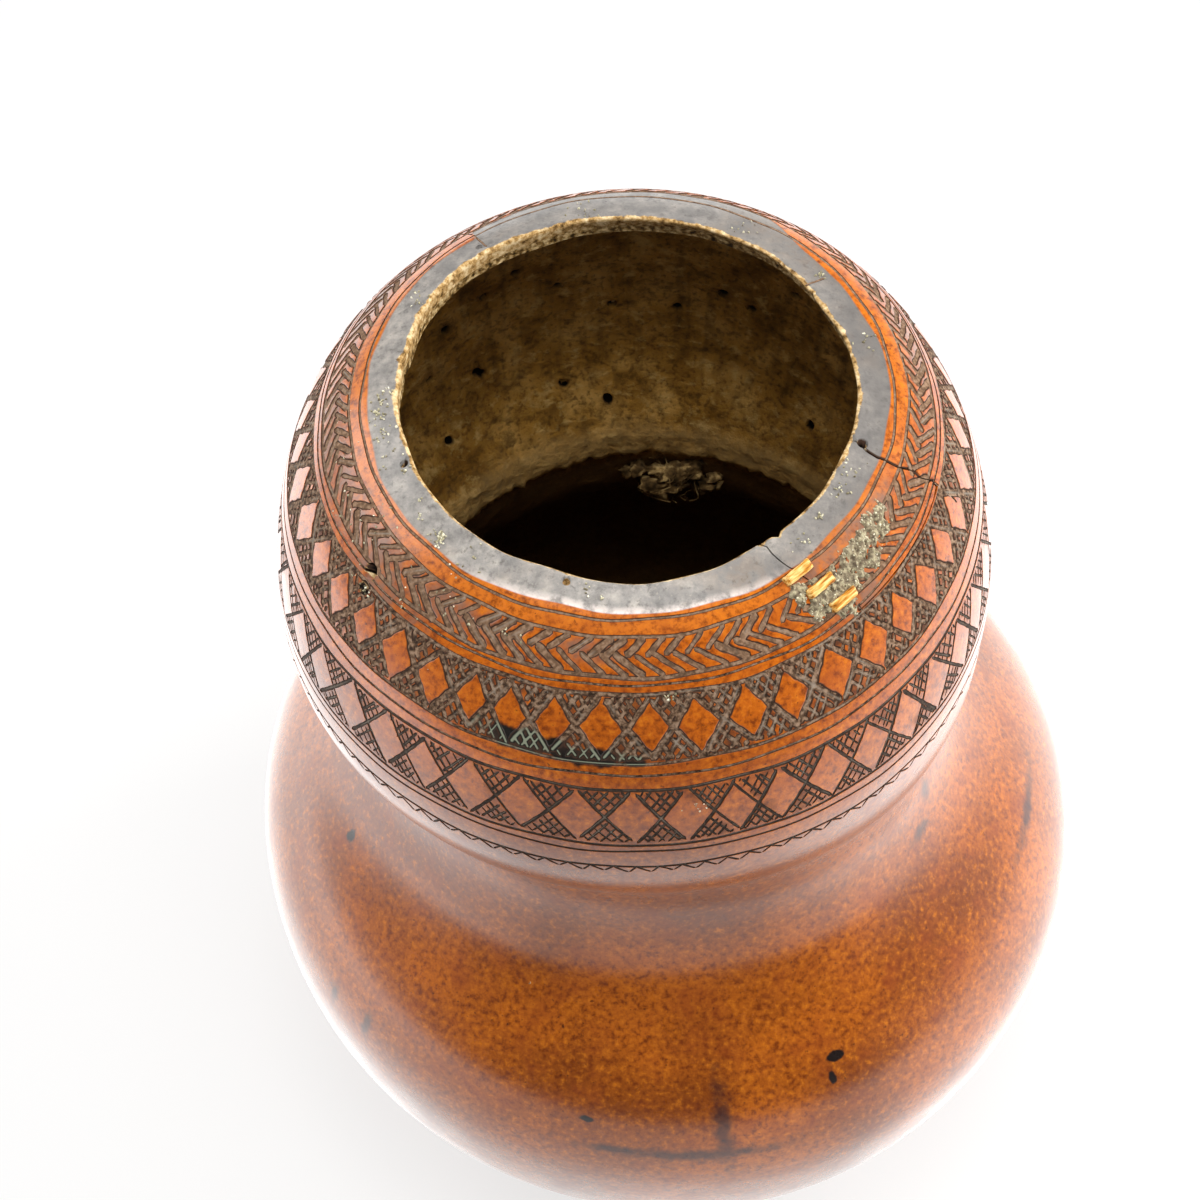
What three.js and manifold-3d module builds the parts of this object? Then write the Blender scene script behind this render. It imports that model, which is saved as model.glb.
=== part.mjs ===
// Gourd jug: a dried double-bulb bottle gourd, cut open at the top, with one broken rim piece stitched back in.
// Millimetres, +Z up, origin at the middle of the flat spot that the gourd stands on.
import * as THREE from 'three';
import { mergeVertices } from 'three/addons/utils/BufferGeometryUtils.js';
import Module from 'manifold-3d';

const wasm = await Module();
wasm.setup();

// Outline of the gourd, from the floor up
const BASE_R = 34;            // radius of the flat spot underneath
const BELLY_R = 100;          // lower bulb at its widest
const BELLY_RISE = 77.5;      // floor to the widest place of the lower bulb
const WAIST_R = 63.6;         // narrowest place between the bulbs
const WAIST_RISE = 70;        // lower bulb's widest place to the waist
const BULB_R = 73.2;          // upper bulb at its widest
const BULB_RISE = 37;         // waist to the upper bulb's widest place
const RIM_R = 50.6;           // outer edge of the burnt rim band
const RIM_RISE = 47;          // upper bulb's widest place to that edge
const MOUTH_R = 44;           // cut opening
const LIP_RISE = 2.2;         // rim band's outer edge to the mouth's edge

// How full the outline is: lengths of the curves' handles
const BELLY_FULL = 35;
const WAIST_LOW_FULL = 35;
const WAIST_HIGH_FULL = 18;
const BULB_LOW_FULL = 24;
const BULB_HIGH_FULL = 22;
const RIM_FULL = 15.7;
const RIM_SLOPE = 0.55;

// How the gourd grew: the axis leans sideways and to the front as it climbs, and the mouth is cut aslant
const WAIST_LEAN = [-4, -1.7];
const BULB_LEAN = [-9.7, -3.4];
const MOUTH_LEAN = [-11.6, 3.1];
const MOUTH_TILT = 1.5;       // rise of the mouth's back edge, and fall of its front edge
const LOBE = 2.5;             // how far the upper bulb's shoulder swells to one side
const LOBE_ANGLE = 48;        // that side, from +X towards +Y, in degrees

// Walls and fits
const RIND = 3.2;             // hard shell
const PITH = 1.5;             // corky layer that dried on its inside
const GAP = 0.3;              // room between pieces that lie on each other
const CRACK = 0.4;            // width of the crack round the broken piece

// Broken rim piece: angles about the gourd's axis, from +X towards +Y, in degrees
const SHARD_REACH = 10.6;     // from the rim band's edge out to the lower break
const STITCHED_AT_MOUTH = -56;
const STITCHED_AT_RIM = -53.6;
const STITCHED_AT_BREAK = -45.2;
const OPEN_AT_MOUTH = -16;
const OPEN_AT_RIM = -18;
const OPEN_AT_BREAK = -14;

// Cane stitches
const STITCH_COUNT = 3;
const STITCH_FIRST = 1;       // first stitch, out from the rim band's edge
const STITCH_PITCH = 3.5;     // from stitch to stitch, outwards
const STITCH_SPAN = 5.6;      // between the middles of a stitch's two legs
const STITCH_WIDTH = 2;
const STITCH_THICK = 0.9;
const STITCH_ROUND = 0.72;    // rounding where the strip bends into its legs
const STITCH_FOOT = 1.5;      // turned-in end on the inside
const FOOT_GAP = 0.6;         // room over a foot, where the wall curves away from it
const STITCH_WAY = 44;        // direction that the stitches lie in, seen from above, in degrees

// Gum smeared over the repair
const GUM_THICK = 0.9;
const GUM_MARGIN = 1.4;       // round each stitch
const GUM_LONG = 10.5;        // half length and half width of the smear on the broken piece
const GUM_WIDE = 4.2;
const GUM_OUT = 5.4;          // its middle, out from the rim band's edge
const GUM_AT_ANGLE = -36.9;
const GUM_WAY = 65;

// Fibre tuft left hanging on the inside of the waist
const TUFT_ANGLE = 85;
const TUFT_BELOW_WAIST = 11;
const TUFT_WIDE = 26;
const TUFT_DEEP = 18;         // thickness of the whole ball, of which the wall takes away about half
const TUFT_HIGH = 12;

// Fineness of the facets
const SIDES = 40;
const CURVE_STEPS = 7;
const BREAK_STEPS = 6;        // along the lower break
const OVAL_STEPS = 24;        // round a smear of gum
const TUFT_SIDES = 16;
const TUFT_RINGS = 10;
const MERGED = 1e-4;          // points closer than this are one point
const SAME = 0.01;            // outline points closer than this are one point

const BELLY_Z = BELLY_RISE;
const WAIST_Z = BELLY_Z + WAIST_RISE;
const BULB_Z = WAIST_Z + BULB_RISE;
const RIM_Z = BULB_Z + RIM_RISE;
const MOUTH_Z = RIM_Z + LIP_RISE;
const SHARD_R = RIM_R + SHARD_REACH;
const LINING_OUT = RIND + GAP;
const LINING_IN = LINING_OUT + PITH;
const OVERCUT = 20;           // how far a cutter runs past what it cuts

const radians = THREE.MathUtils.degToRad;

// Outer outline as (radius, height): flat spot, lower bulb, waist, upper bulb, rim band and on past the mouth
const lipSlope = LIP_RISE / (RIM_R - MOUTH_R);
const curves = new THREE.Path()
  .moveTo(0, 0)
  .lineTo(BASE_R, 0)
  .absellipse(BASE_R, BELLY_Z, BELLY_R - BASE_R, BELLY_Z, -Math.PI / 2, 0)
  .bezierCurveTo(BELLY_R, BELLY_Z + BELLY_FULL, WAIST_R, WAIST_Z - WAIST_LOW_FULL, WAIST_R, WAIST_Z)
  .bezierCurveTo(WAIST_R, WAIST_Z + WAIST_HIGH_FULL, BULB_R, BULB_Z - BULB_LOW_FULL, BULB_R, BULB_Z)
  .bezierCurveTo(BULB_R, BULB_Z + BULB_HIGH_FULL, RIM_R + RIM_FULL, RIM_Z - RIM_FULL * RIM_SLOPE, RIM_R, RIM_Z)
  .lineTo(MOUTH_R - OVERCUT, MOUTH_Z + OVERCUT * lipSlope)
  .curves;
const outline = curves
  .flatMap((curve) => curve.getPoints(curve.isLineCurve ? 1 : CURVE_STEPS))
  .filter((point, i, all) => i === 0 || point.distanceTo(all[i - 1]) > SAME);

// The same outline moved outwards by a distance, or inwards where the distance is negative
function moved(distance) {
  return outline.map((point, i) => {
    const before = outline[Math.max(i - 1, 0)];
    const after = outline[Math.min(i + 1, outline.length - 1)];
    const along = after.clone().sub(before).normalize();
    const first = i > 0 ? point.clone().sub(before).normalize() : along;
    const miter = Math.max(along.dot(first), 0.5);
    return new THREE.Vector2(point.x + (along.y * distance) / miter, point.y - (along.x * distance) / miter);
  });
}

// The part of an outline that lies outside the cut mouth
function cutAtMouth(points) {
  const end = points.findIndex((point, i) => point.y > BULB_Z && point.x <= MOUTH_R && i > 0);
  const inner = points[end];
  const outer = points[end - 1];
  const share = (outer.x - MOUTH_R) / (outer.x - inner.x);
  return [...points.slice(0, end), outer.clone().lerp(inner, share)];
}

// A wall between two outlines, as one closed turned shape
function wall(outside, inside) {
  const outer = cutAtMouth(moved(outside));
  const inner = cutAtMouth(moved(inside)).reverse();
  const profile = [...outer, ...inner];
  profile[0].x = 0;
  profile[profile.length - 1].x = 0;
  return turned(profile);
}

function turned(profile) {
  return solid(new THREE.LatheGeometry(profile, SIDES).rotateX(Math.PI / 2));
}

// Closed three.js geometry as a solid that can be joined and cut, and back again
function solid(geometry) {
  const bare = geometry.index ? geometry.toNonIndexed() : geometry.clone();
  bare.deleteAttribute('normal');
  bare.deleteAttribute('uv');
  const merged = mergeVertices(bare, MERGED);
  const index = merged.index.array;
  const triangles = [];
  for (let i = 0; i < index.length; i += 3) {
    const [a, b, c] = [index[i], index[i + 1], index[i + 2]];
    if (a !== b && b !== c && c !== a) triangles.push(a, b, c);
  }
  return new wasm.Manifold(new wasm.Mesh({
    numProp: 3,
    vertProperties: new Float32Array(merged.attributes.position.array),
    triVerts: new Uint32Array(triangles),
  }));
}

function geometryOf(body) {
  const mesh = body.getMesh();
  const geometry = new THREE.BufferGeometry();
  geometry.setAttribute('position', new THREE.BufferAttribute(new Float32Array(mesh.vertProperties), 3));
  geometry.setIndex(new THREE.BufferAttribute(new Uint32Array(mesh.triVerts), 1));
  return geometry;
}

// The gourd's lean at a height: no lean up to the lower bulb's widest place, then eased from place to place
function leanAt(z) {
  const ease = (low, high) => THREE.MathUtils.smoothstep(z, low, high);
  const toWaist = ease(BELLY_Z, WAIST_Z);
  const toBulb = ease(WAIST_Z, BULB_Z);
  const toMouth = ease(BULB_Z, MOUTH_Z);
  return [0, 1].map((k) => WAIST_LEAN[k] * toWaist
    + (BULB_LEAN[k] - WAIST_LEAN[k]) * toBulb
    + (MOUTH_LEAN[k] - BULB_LEAN[k]) * toMouth);
}

// The upper bulb's swelling to one side, widest between the mouth and its widest place
function lobeAt(x, y, z) {
  const facing = Math.max(Math.cos(Math.atan2(y, x) - radians(LOBE_ANGLE)), 0);
  const rise = THREE.MathUtils.smoothstep(z, WAIST_Z, BULB_Z);
  const fall = 1 - THREE.MathUtils.smoothstep(z, RIM_Z - LIP_RISE, MOUTH_Z);
  return LOBE * facing * facing * rise * fall;
}

// Every piece is made round and upright, and then leans and swells with the gourd
function grown(geometry) {
  const place = geometry.attributes.position;
  for (let i = 0; i < place.count; i++) {
    const [x, y, z] = [place.getX(i), place.getY(i), place.getZ(i)];
    const radius = Math.max(Math.hypot(x, y), 1);
    const swell = 1 + lobeAt(x, y, z) / radius;
    const [leanX, leanY] = leanAt(z);
    const tilt = ((MOUTH_TILT * y) / MOUTH_R) * THREE.MathUtils.smoothstep(z, BULB_Z, MOUTH_Z);
    place.setXYZ(i, x * swell + leanX, y * swell + leanY, z + tilt);
  }
  geometry.computeVertexNormals();
  return geometry;
}

// Height and outward normal (radius, height) of the outer face at a radius between mouth and upper bulb
function shoulderAt(radius) {
  const i = outline.findIndex((point, k) => k > 0 && point.y > BULB_Z && point.x <= radius);
  const low = outline[i - 1];
  const high = outline[i];
  const share = (low.x - radius) / (low.x - high.x);
  const along = high.clone().sub(low).normalize();
  return { z: low.y + (high.y - low.y) * share, normal: [along.y, -along.x] };
}

// Upright prism over an outline drawn from above, through the whole shoulder of the gourd
function prism(points) {
  const shape = new THREE.Shape(points);
  const depth = MOUTH_Z - BULB_Z + OVERCUT;
  return solid(new THREE.ExtrudeGeometry(shape, { depth, bevelEnabled: false, steps: 1 }).translate(0, 0, BULB_Z));
}

// Angle of a crack at a radius: straight from the mouth to the rim band's edge, and from there to the lower break
function crackAngle(atMouth, atRim, atBreak, radius) {
  const lip = (radius - MOUTH_R) / (RIM_R - MOUTH_R);
  const beyond = (radius - RIM_R) / (SHARD_R - RIM_R);
  const degrees = radius < RIM_R
    ? THREE.MathUtils.lerp(atMouth, atRim, lip)
    : THREE.MathUtils.lerp(atRim, atBreak, beyond);
  return radians(degrees);
}

const stitchedCrack = (radius) => crackAngle(STITCHED_AT_MOUTH, STITCHED_AT_RIM, STITCHED_AT_BREAK, radius);
const openCrack = (radius) => crackAngle(OPEN_AT_MOUTH, OPEN_AT_RIM, OPEN_AT_BREAK, radius);

// Outline of the broken piece from above, grown by a distance: two cracks and the lower break between them
function shardOutline(grow) {
  const inside = MOUTH_R - OVERCUT;
  const outside = SHARD_R + grow;
  const polar = (radius, angle) => new THREE.Vector2(radius * Math.cos(angle), radius * Math.sin(angle));
  const radii = [inside, MOUTH_R, RIM_R, (RIM_R + SHARD_R) / 2, outside];
  const stitched = radii.map((radius) => polar(radius, stitchedCrack(radius) - grow / radius));
  const open = radii.map((radius) => polar(radius, openCrack(radius) + grow / radius));
  const lower = [];
  for (let k = 1; k < BREAK_STEPS; k++) {
    const share = k / BREAK_STEPS;
    lower.push(polar(outside, THREE.MathUtils.lerp(stitchedCrack(SHARD_R), openCrack(SHARD_R), share)));
  }
  return [...stitched, ...lower, ...open.reverse()];
}

// Where each stitch crosses the crack: its place on the outer face, with the way it lies and the face's normal
function stitchPlace(k) {
  const radius = RIM_R + STITCH_FIRST + k * STITCH_PITCH;
  const angle = stitchedCrack(radius);
  const { z, normal } = shoulderAt(radius);
  const out = new THREE.Vector3(normal[0] * Math.cos(angle), normal[0] * Math.sin(angle), normal[1]);
  const way = new THREE.Vector3(Math.cos(radians(STITCH_WAY)), Math.sin(radians(STITCH_WAY)), 0);
  way.addScaledVector(out, -way.dot(out)).normalize();
  const across = new THREE.Vector3().crossVectors(way, out);
  const matrix = new THREE.Matrix4().makeBasis(way, out, across);
  matrix.setPosition(radius * Math.cos(angle), radius * Math.sin(angle), z);
  return matrix;
}

// A stitch from the side: a flat strip over the crack, two legs through the wall and two turned-in feet
function stitchShape() {
  const half = STITCH_SPAN / 2 + STITCH_THICK / 2;
  const inner = half - STITCH_THICK;
  const top = GAP + STITCH_THICK;
  const sole = -(LINING_IN + FOOT_GAP);
  const bottom = sole - STITCH_THICK;
  const toe = inner - STITCH_FOOT;
  const shape = new THREE.Shape();
  shape.moveTo(-half, bottom);
  shape.lineTo(-half, top - STITCH_ROUND);
  shape.quadraticCurveTo(-half, top, -half + STITCH_ROUND, top);
  shape.lineTo(half - STITCH_ROUND, top);
  shape.quadraticCurveTo(half, top, half, top - STITCH_ROUND);
  shape.lineTo(half, bottom);
  shape.lineTo(toe, bottom);
  shape.lineTo(toe, sole);
  shape.lineTo(inner, sole);
  shape.lineTo(inner, GAP);
  shape.lineTo(-inner, GAP);
  shape.lineTo(-inner, sole);
  shape.lineTo(-toe, sole);
  shape.lineTo(-toe, bottom);
  shape.closePath();
  return shape;
}

function stitch(k) {
  const strip = new THREE.ExtrudeGeometry(stitchShape(), {
    depth: STITCH_WIDTH,
    bevelEnabled: false,
    curveSegments: 4,
  });
  return solid(strip.translate(0, 0, -STITCH_WIDTH / 2).applyMatrix4(stitchPlace(k)));
}

// Room for a stitch: two slots for its legs, and the trench for its flat strip
function slots(k) {
  const slot = new THREE.BoxGeometry(STITCH_THICK + 2 * GAP, 2 * OVERCUT, STITCH_WIDTH + 2 * GAP);
  const left = slot.clone().translate(-STITCH_SPAN / 2, 0, 0).applyMatrix4(stitchPlace(k));
  const right = slot.clone().translate(STITCH_SPAN / 2, 0, 0).applyMatrix4(stitchPlace(k));
  return solid(left).add(solid(right));
}

function trench(k) {
  const length = STITCH_SPAN + STITCH_THICK + 2 * GAP;
  const room = new THREE.BoxGeometry(length, OVERCUT, STITCH_WIDTH + 2 * GAP);
  return solid(room.applyMatrix4(stitchPlace(k)));
}

const stitchNumbers = Array.from({ length: STITCH_COUNT }, (_, k) => k);
const allSlots = stitchNumbers.map(slots).reduce((a, b) => a.add(b));
const allTrenches = stitchNumbers.map(trench).reduce((a, b) => a.add(b));

// Hard shell and the piece broken out of its rim
const wholeShell = wall(0, -RIND);
const gourdShell = wholeShell.subtract(prism(shardOutline(CRACK / 2))).subtract(allSlots);
const rimShard = wholeShell.intersect(prism(shardOutline(-CRACK / 2))).subtract(allSlots);

// Corky lining
const pithLining = wall(-LINING_OUT, -LINING_IN).subtract(allSlots);

// Gum: a layer on the outer face, wherever a pad round a stitch or the smear lies
function gumPad(k) {
  const place = stitchPlace(k);
  const middle = new THREE.Vector3().setFromMatrixPosition(place);
  const long = STITCH_SPAN / 2 + STITCH_THICK / 2 + GAP + GUM_MARGIN;
  const wide = STITCH_WIDTH / 2 + GAP + GUM_MARGIN;
  return prism(oval(middle.x, middle.y, long, wide, STITCH_WAY, 4));
}

// Closed round outline: power 2 is an ellipse, higher powers are squarer
function oval(x, y, long, wide, way, power) {
  const turn = radians(way);
  const points = [];
  for (let k = 0; k < OVAL_STEPS; k++) {
    const angle = (2 * Math.PI * k) / OVAL_STEPS;
    const u = long * Math.sign(Math.cos(angle)) * Math.abs(Math.cos(angle)) ** (2 / power);
    const v = wide * Math.sign(Math.sin(angle)) * Math.abs(Math.sin(angle)) ** (2 / power);
    points.push(new THREE.Vector2(x + u * Math.cos(turn) - v * Math.sin(turn),
      y + u * Math.sin(turn) + v * Math.cos(turn)));
  }
  return points;
}

function gumPatch() {
  const smearAngle = radians(GUM_AT_ANGLE);
  const gumR = RIM_R + GUM_OUT;
  const smear = prism(oval(gumR * Math.cos(smearAngle), gumR * Math.sin(smearAngle),
    GUM_LONG, GUM_WIDE, GUM_WAY, 2));
  const cover = stitchNumbers.map(gumPad).reduce((a, b) => a.add(b), smear);
  return wall(GAP + GUM_THICK, GAP).intersect(cover).subtract(allTrenches);
}

// Fibre tuft: a ball at the inside of the waist, cut off where the lining is
function pithTuft() {
  const radius = WAIST_R - LINING_IN;
  const angle = radians(TUFT_ANGLE);
  const ball = new THREE.SphereGeometry(0.5, TUFT_SIDES, TUFT_RINGS)
    .scale(TUFT_WIDE, TUFT_DEEP, TUFT_HIGH)
    .rotateZ(angle - Math.PI / 2)
    .translate(radius * Math.cos(angle), radius * Math.sin(angle), WAIST_Z - TUFT_BELOW_WAIST);
  const hollow = cutAtMouth(moved(-LINING_IN - GAP));
  hollow[0].x = 0;
  const top = hollow[hollow.length - 1];
  return solid(ball).intersect(turned([...hollow, new THREE.Vector2(0, top.y)]));
}

const jug = new THREE.Group();

function add(name, body, color, roughness) {
  const material = new THREE.MeshStandardMaterial({ color, roughness, metalness: 0 });
  const mesh = new THREE.Mesh(grown(geometryOf(body)), material);
  mesh.name = name;
  jug.add(mesh);
}

add('gourd_shell', gourdShell, '#a8541a', 0.3);
add('rim_shard', rimShard, '#8a4a20', 0.35);
add('pith_lining', pithLining, '#6b5228', 0.95);
for (const k of stitchNumbers) {
  add(`cane_stitch_${k + 1}`, stitch(k), '#d9a441', 0.6);
}
add('gum_patch', gumPatch(), '#7b7a58', 0.9);
add('pith_tuft', pithTuft(), '#9a8350', 0.95);

export default jug;
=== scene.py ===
# Gourd jug: the looks of a dried double-bulb gourd with an engraved shoulder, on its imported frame
import math
from functools import partial

import bpy
import numpy as np
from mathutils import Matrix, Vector, noise
from mathutils.geometry import delaunay_2d_cdt


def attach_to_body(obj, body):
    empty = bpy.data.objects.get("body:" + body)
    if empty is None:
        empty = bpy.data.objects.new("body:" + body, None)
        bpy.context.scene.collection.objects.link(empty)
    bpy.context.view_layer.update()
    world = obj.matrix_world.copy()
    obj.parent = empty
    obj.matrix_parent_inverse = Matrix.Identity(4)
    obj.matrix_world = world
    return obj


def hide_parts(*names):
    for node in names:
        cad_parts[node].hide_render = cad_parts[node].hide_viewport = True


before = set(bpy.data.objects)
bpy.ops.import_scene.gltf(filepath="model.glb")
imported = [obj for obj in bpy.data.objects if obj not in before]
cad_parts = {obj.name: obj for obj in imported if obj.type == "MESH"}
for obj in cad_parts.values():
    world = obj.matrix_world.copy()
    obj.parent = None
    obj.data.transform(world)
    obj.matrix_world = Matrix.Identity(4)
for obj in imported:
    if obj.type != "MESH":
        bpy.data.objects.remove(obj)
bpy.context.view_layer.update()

MM = 0.001
rng = np.random.default_rng(11)

# Outline of the gourd, as in the solids, in millimetres from the floor up
BASE_R = 34.0
BELLY_R = 100.0
BELLY_Z = 77.5
WAIST_R = 63.6
WAIST_Z = BELLY_Z + 70.0
BULB_R = 73.2
BULB_Z = WAIST_Z + 37.0
RIM_R = 50.6
RIM_Z = BULB_Z + 47.0
MOUTH_R = 44.0
LIP_RISE = 2.2
MOUTH_Z = RIM_Z + LIP_RISE
LIP_SLOPE = LIP_RISE / (RIM_R - MOUTH_R)
BELLY_FULL = 35.0
WAIST_LOW_FULL = 35.0
WAIST_HIGH_FULL = 18.0
BULB_LOW_FULL = 24.0
BULB_HIGH_FULL = 22.0
RIM_FULL = 15.7
RIM_SLOPE = 0.55

# How the gourd grew
WAIST_LEAN = (-4.0, -1.7)
BULB_LEAN = (-9.7, -3.4)
MOUTH_LEAN = (-11.6, 3.1)
MOUTH_TILT = 1.5
LOBE = 2.5
LOBE_ANGLE = math.radians(48)

# Walls
RIND = 3.2
LINING_OUT = RIND + 0.3
LINING_IN = LINING_OUT + 1.5

# Broken rim piece: angles in degrees at the mouth, at the rim band's edge and at the lower break
SHARD_R = RIM_R + 10.6
STITCHED_CRACK = (-56.0, -53.6, -45.2)
OPEN_CRACK = (-16.0, -18.0, -14.0)
CRACK = 0.3
CRACK_STEPS = 14
CRACK_WORN = 0.3
CRACK_WORN_DEEP = 0.5
CRACK_WORN_TOP = 3.5
CRACK_DARK = 0.38
PAST_MOUTH = 6.0
BREAK_STEPS = 12
# Waves of the break: size, rate along it and start
JAGS = ((0.35, 1.1, 0.0), (0.2, 2.7, 1.0))

# The shoulder drawn flat: along is the angle times this radius, down is the length from the mouth
FLAT_R = 65.0
SEAM = math.radians(90)
TURN = 2 * math.pi * FLAT_R
LEFT_END = SEAM * FLAT_R - TURN
RIGHT_END = SEAM * FLAT_R
ROUND = 240
ROUND_ALONG = np.linspace(LEFT_END, RIGHT_END, ROUND + 1)
SAME = 1e-4
NEAR = 0.01
WELD = 0.002
SIDE_CLEAR = 0.3
# Unit of the unrolled gourd's length from the mouth, in millimetres
WRAP_UNIT = 100.0


def ease(x, low, high):
    share = np.clip((x - low) / (high - low), 0, 1)
    return share * share * (3 - 2 * share)


def rough_at(points, along, down, seed):
    """Smooth noise over places of the drawing, with so many lumps per millimetre along and down"""
    return np.array([noise.noise(Vector((x * along, y * down, seed))) for x, y in points])


# Shape of the gourd
def bezier(a, b, c, d, steps=80):
    a, b, c, d = (np.array(p) for p in (a, b, c, d))
    t = np.linspace(0, 1, steps)[:, None]
    return (1 - t) ** 3 * a + 3 * (1 - t) ** 2 * t * b + 3 * (1 - t) * t * t * c + t ** 3 * d


def outline(step=0.2, soften=9):
    """Outer face from the mouth to the middle of the base: length, radius, height and outward normal"""
    turn = np.linspace(0, math.pi / 2, 120)
    belly = np.c_[BASE_R + (BELLY_R - BASE_R) * np.cos(turn), BELLY_Z * (1 - np.sin(turn))]
    shoulder = bezier((RIM_R, RIM_Z), (RIM_R + RIM_FULL, RIM_Z - RIM_FULL * RIM_SLOPE),
                      (BULB_R, BULB_Z + BULB_HIGH_FULL), (BULB_R, BULB_Z))
    neck = bezier((BULB_R, BULB_Z), (BULB_R, BULB_Z - BULB_LOW_FULL),
                  (WAIST_R, WAIST_Z + WAIST_HIGH_FULL), (WAIST_R, WAIST_Z))
    flank = bezier((WAIST_R, WAIST_Z), (WAIST_R, WAIST_Z - WAIST_LOW_FULL),
                   (BELLY_R, BELLY_Z + BELLY_FULL), (BELLY_R, BELLY_Z))
    path = np.concatenate([[(MOUTH_R, MOUTH_Z)], shoulder, neck[1:], flank[1:], belly[1:], [(0, 0)]])
    walked = np.r_[0, np.cumsum(np.hypot(*np.diff(path, axis=0).T))]
    length = np.linspace(0, walked[-1], int(walked[-1] / step))
    radius = np.interp(length, walked, path[:, 0])
    height = np.interp(length, walked, path[:, 1])
    way = np.c_[np.gradient(radius), np.gradient(height)]
    padded = np.pad(way, ((soften, soften), (0, 0)), mode="edge")
    way = sum(padded[k:k + len(way)] for k in range(2 * soften + 1))
    way /= np.hypot(*way.T)[:, None]
    return length, radius, height, -way[:, 1], way[:, 0]


ARC, OUT_R, OUT_Z, NORMAL_R, NORMAL_Z = outline()
LENGTH = ARC[-1]


def along_at(degrees):
    """Place along the drawing of an angle, taken round to the drawing's side of the seam"""
    seam = math.degrees(SEAM)
    return np.radians((degrees - seam) % 360 + seam - 360) * FLAT_R


def stretch_at(down):
    """Length round the gourd for a length along the drawing, at a level"""
    return np.interp(down, ARC, OUT_R) / FLAT_R


def down_at_radius(radius):
    """Length down the outline to a radius of the shoulder"""
    shoulder = ARC[OUT_Z > BULB_Z]
    return np.interp(radius, OUT_R[:len(shoulder)], shoulder)


def down_at_depth(depth, inward=0.0):
    """Length down the outline at a depth below the mouth, on the outer face or on one further in"""
    return float(np.interp(depth, MOUTH_Z - OUT_Z + NORMAL_Z * inward, ARC))


def grown(x, y, z):
    """Lean, swelling and slanted mouth of the grown gourd, from upright millimetres to metres"""
    radius = np.maximum(np.hypot(x, y), 1)
    side = np.maximum(np.cos(np.arctan2(y, x) - LOBE_ANGLE), 0)
    lobe = LOBE * side ** 2 * ease(z, WAIST_Z, BULB_Z) * (1 - ease(z, RIM_Z - LIP_RISE, MOUTH_Z))
    swell = 1 + lobe / radius
    to_waist = ease(z, BELLY_Z, WAIST_Z)
    to_bulb = ease(z, WAIST_Z, BULB_Z)
    to_mouth = ease(z, BULB_Z, MOUTH_Z)
    lean = [WAIST_LEAN[k] * to_waist + (BULB_LEAN[k] - WAIST_LEAN[k]) * to_bulb
            + (MOUTH_LEAN[k] - BULB_LEAN[k]) * to_mouth for k in (0, 1)]
    tilt = MOUTH_TILT * y / MOUTH_R * to_mouth
    return np.stack([x * swell + lean[0], y * swell + lean[1], z + tilt], axis=-1) * MM


# Waves round the gourd: how many, their size and where they start; nicks: angle, half width and depth
MOUTH_WAVES = ((3, 0.35, 0.4), (5, 0.3, 2.1), (8, 0.22, 0.9), (13, 0.14, 4.0), (21, 0.08, 1.3))
MOUTH_NICKS = ((-51.0, 1.1, 0.9), (33.0, 1.0, 0.5), (171.0, 1.2, 0.7), (-178.0, 0.8, 0.5))
MOUTH_WAVE_END = 9.0
SWELLS = ((2, 0.55, 0.5), (3, 0.4, 2.6), (5, 0.22, 4.4))
SWELL_END = 0.8
SWELL_TWIST = 70.0


def waves(angle, kinds, twist=0.0):
    """Waves round the gourd, added up"""
    return sum(size * np.sin(count * angle + start + twist) for count, size, start in kinds)


def mouth_wave(angle):
    """Unevenness of the cut edge, with its nicks"""
    wave = waves(angle, MOUTH_WAVES)
    for degrees, wide, deep in MOUTH_NICKS:
        off = np.angle(np.exp(1j * (angle - math.radians(degrees))))
        wave = wave + deep * np.exp(-(off / math.radians(wide)) ** 2)
    return wave


def unevenness(angle, down):
    """Slow swells that keep the bulbs from being perfectly round, none at the mouth or under the base"""
    share = np.sin(math.pi * np.clip(down / (SWELL_END * LENGTH), 0, 1)) ** 2
    return share * waves(angle, SWELLS, down / SWELL_TWIST)


def place(along, down, out):
    """Points in metres of places in the flat drawing, at a distance out of the rind, in millimetres"""
    angle = along / FLAT_R
    near_mouth = 1 - ease(down, 0, MOUTH_WAVE_END)
    down = down + near_mouth * (np.maximum(-out, 0) * LIP_SLOPE + mouth_wave(angle))
    out = out + unevenness(angle, down)
    radius = np.interp(down, ARC, OUT_R) + np.interp(down, ARC, NORMAL_R) * out
    height = np.interp(down, ARC, OUT_Z) + np.interp(down, ARC, NORMAL_Z) * out
    return grown(radius * np.cos(angle), radius * np.sin(angle), height)


def outward(along, down, out):
    """Outward normals of the smooth face at a distance out of the rind"""
    step = 0.05
    across = place(along + step, down, out) - place(along - step, down, out)
    below = place(along, down + step, out) - place(along, np.maximum(down - step, 0), out)
    normal = np.cross(below, across)
    return normal / np.maximum(np.linalg.norm(normal, axis=-1, keepdims=True), 1e-12)


# Meshes
def linked(name, data):
    made = bpy.data.objects.new(name, data)
    bpy.context.scene.collection.objects.link(made)
    return made


def point_normals(points, triangles):
    corners = points[triangles]
    flat = np.cross(corners[:, 1] - corners[:, 0], corners[:, 2] - corners[:, 0])
    total = np.zeros_like(points)
    for k in range(3):
        np.add.at(total, triangles[:, k], flat)
    return total / np.maximum(np.linalg.norm(total, axis=1, keepdims=True), 1e-15)


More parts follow.
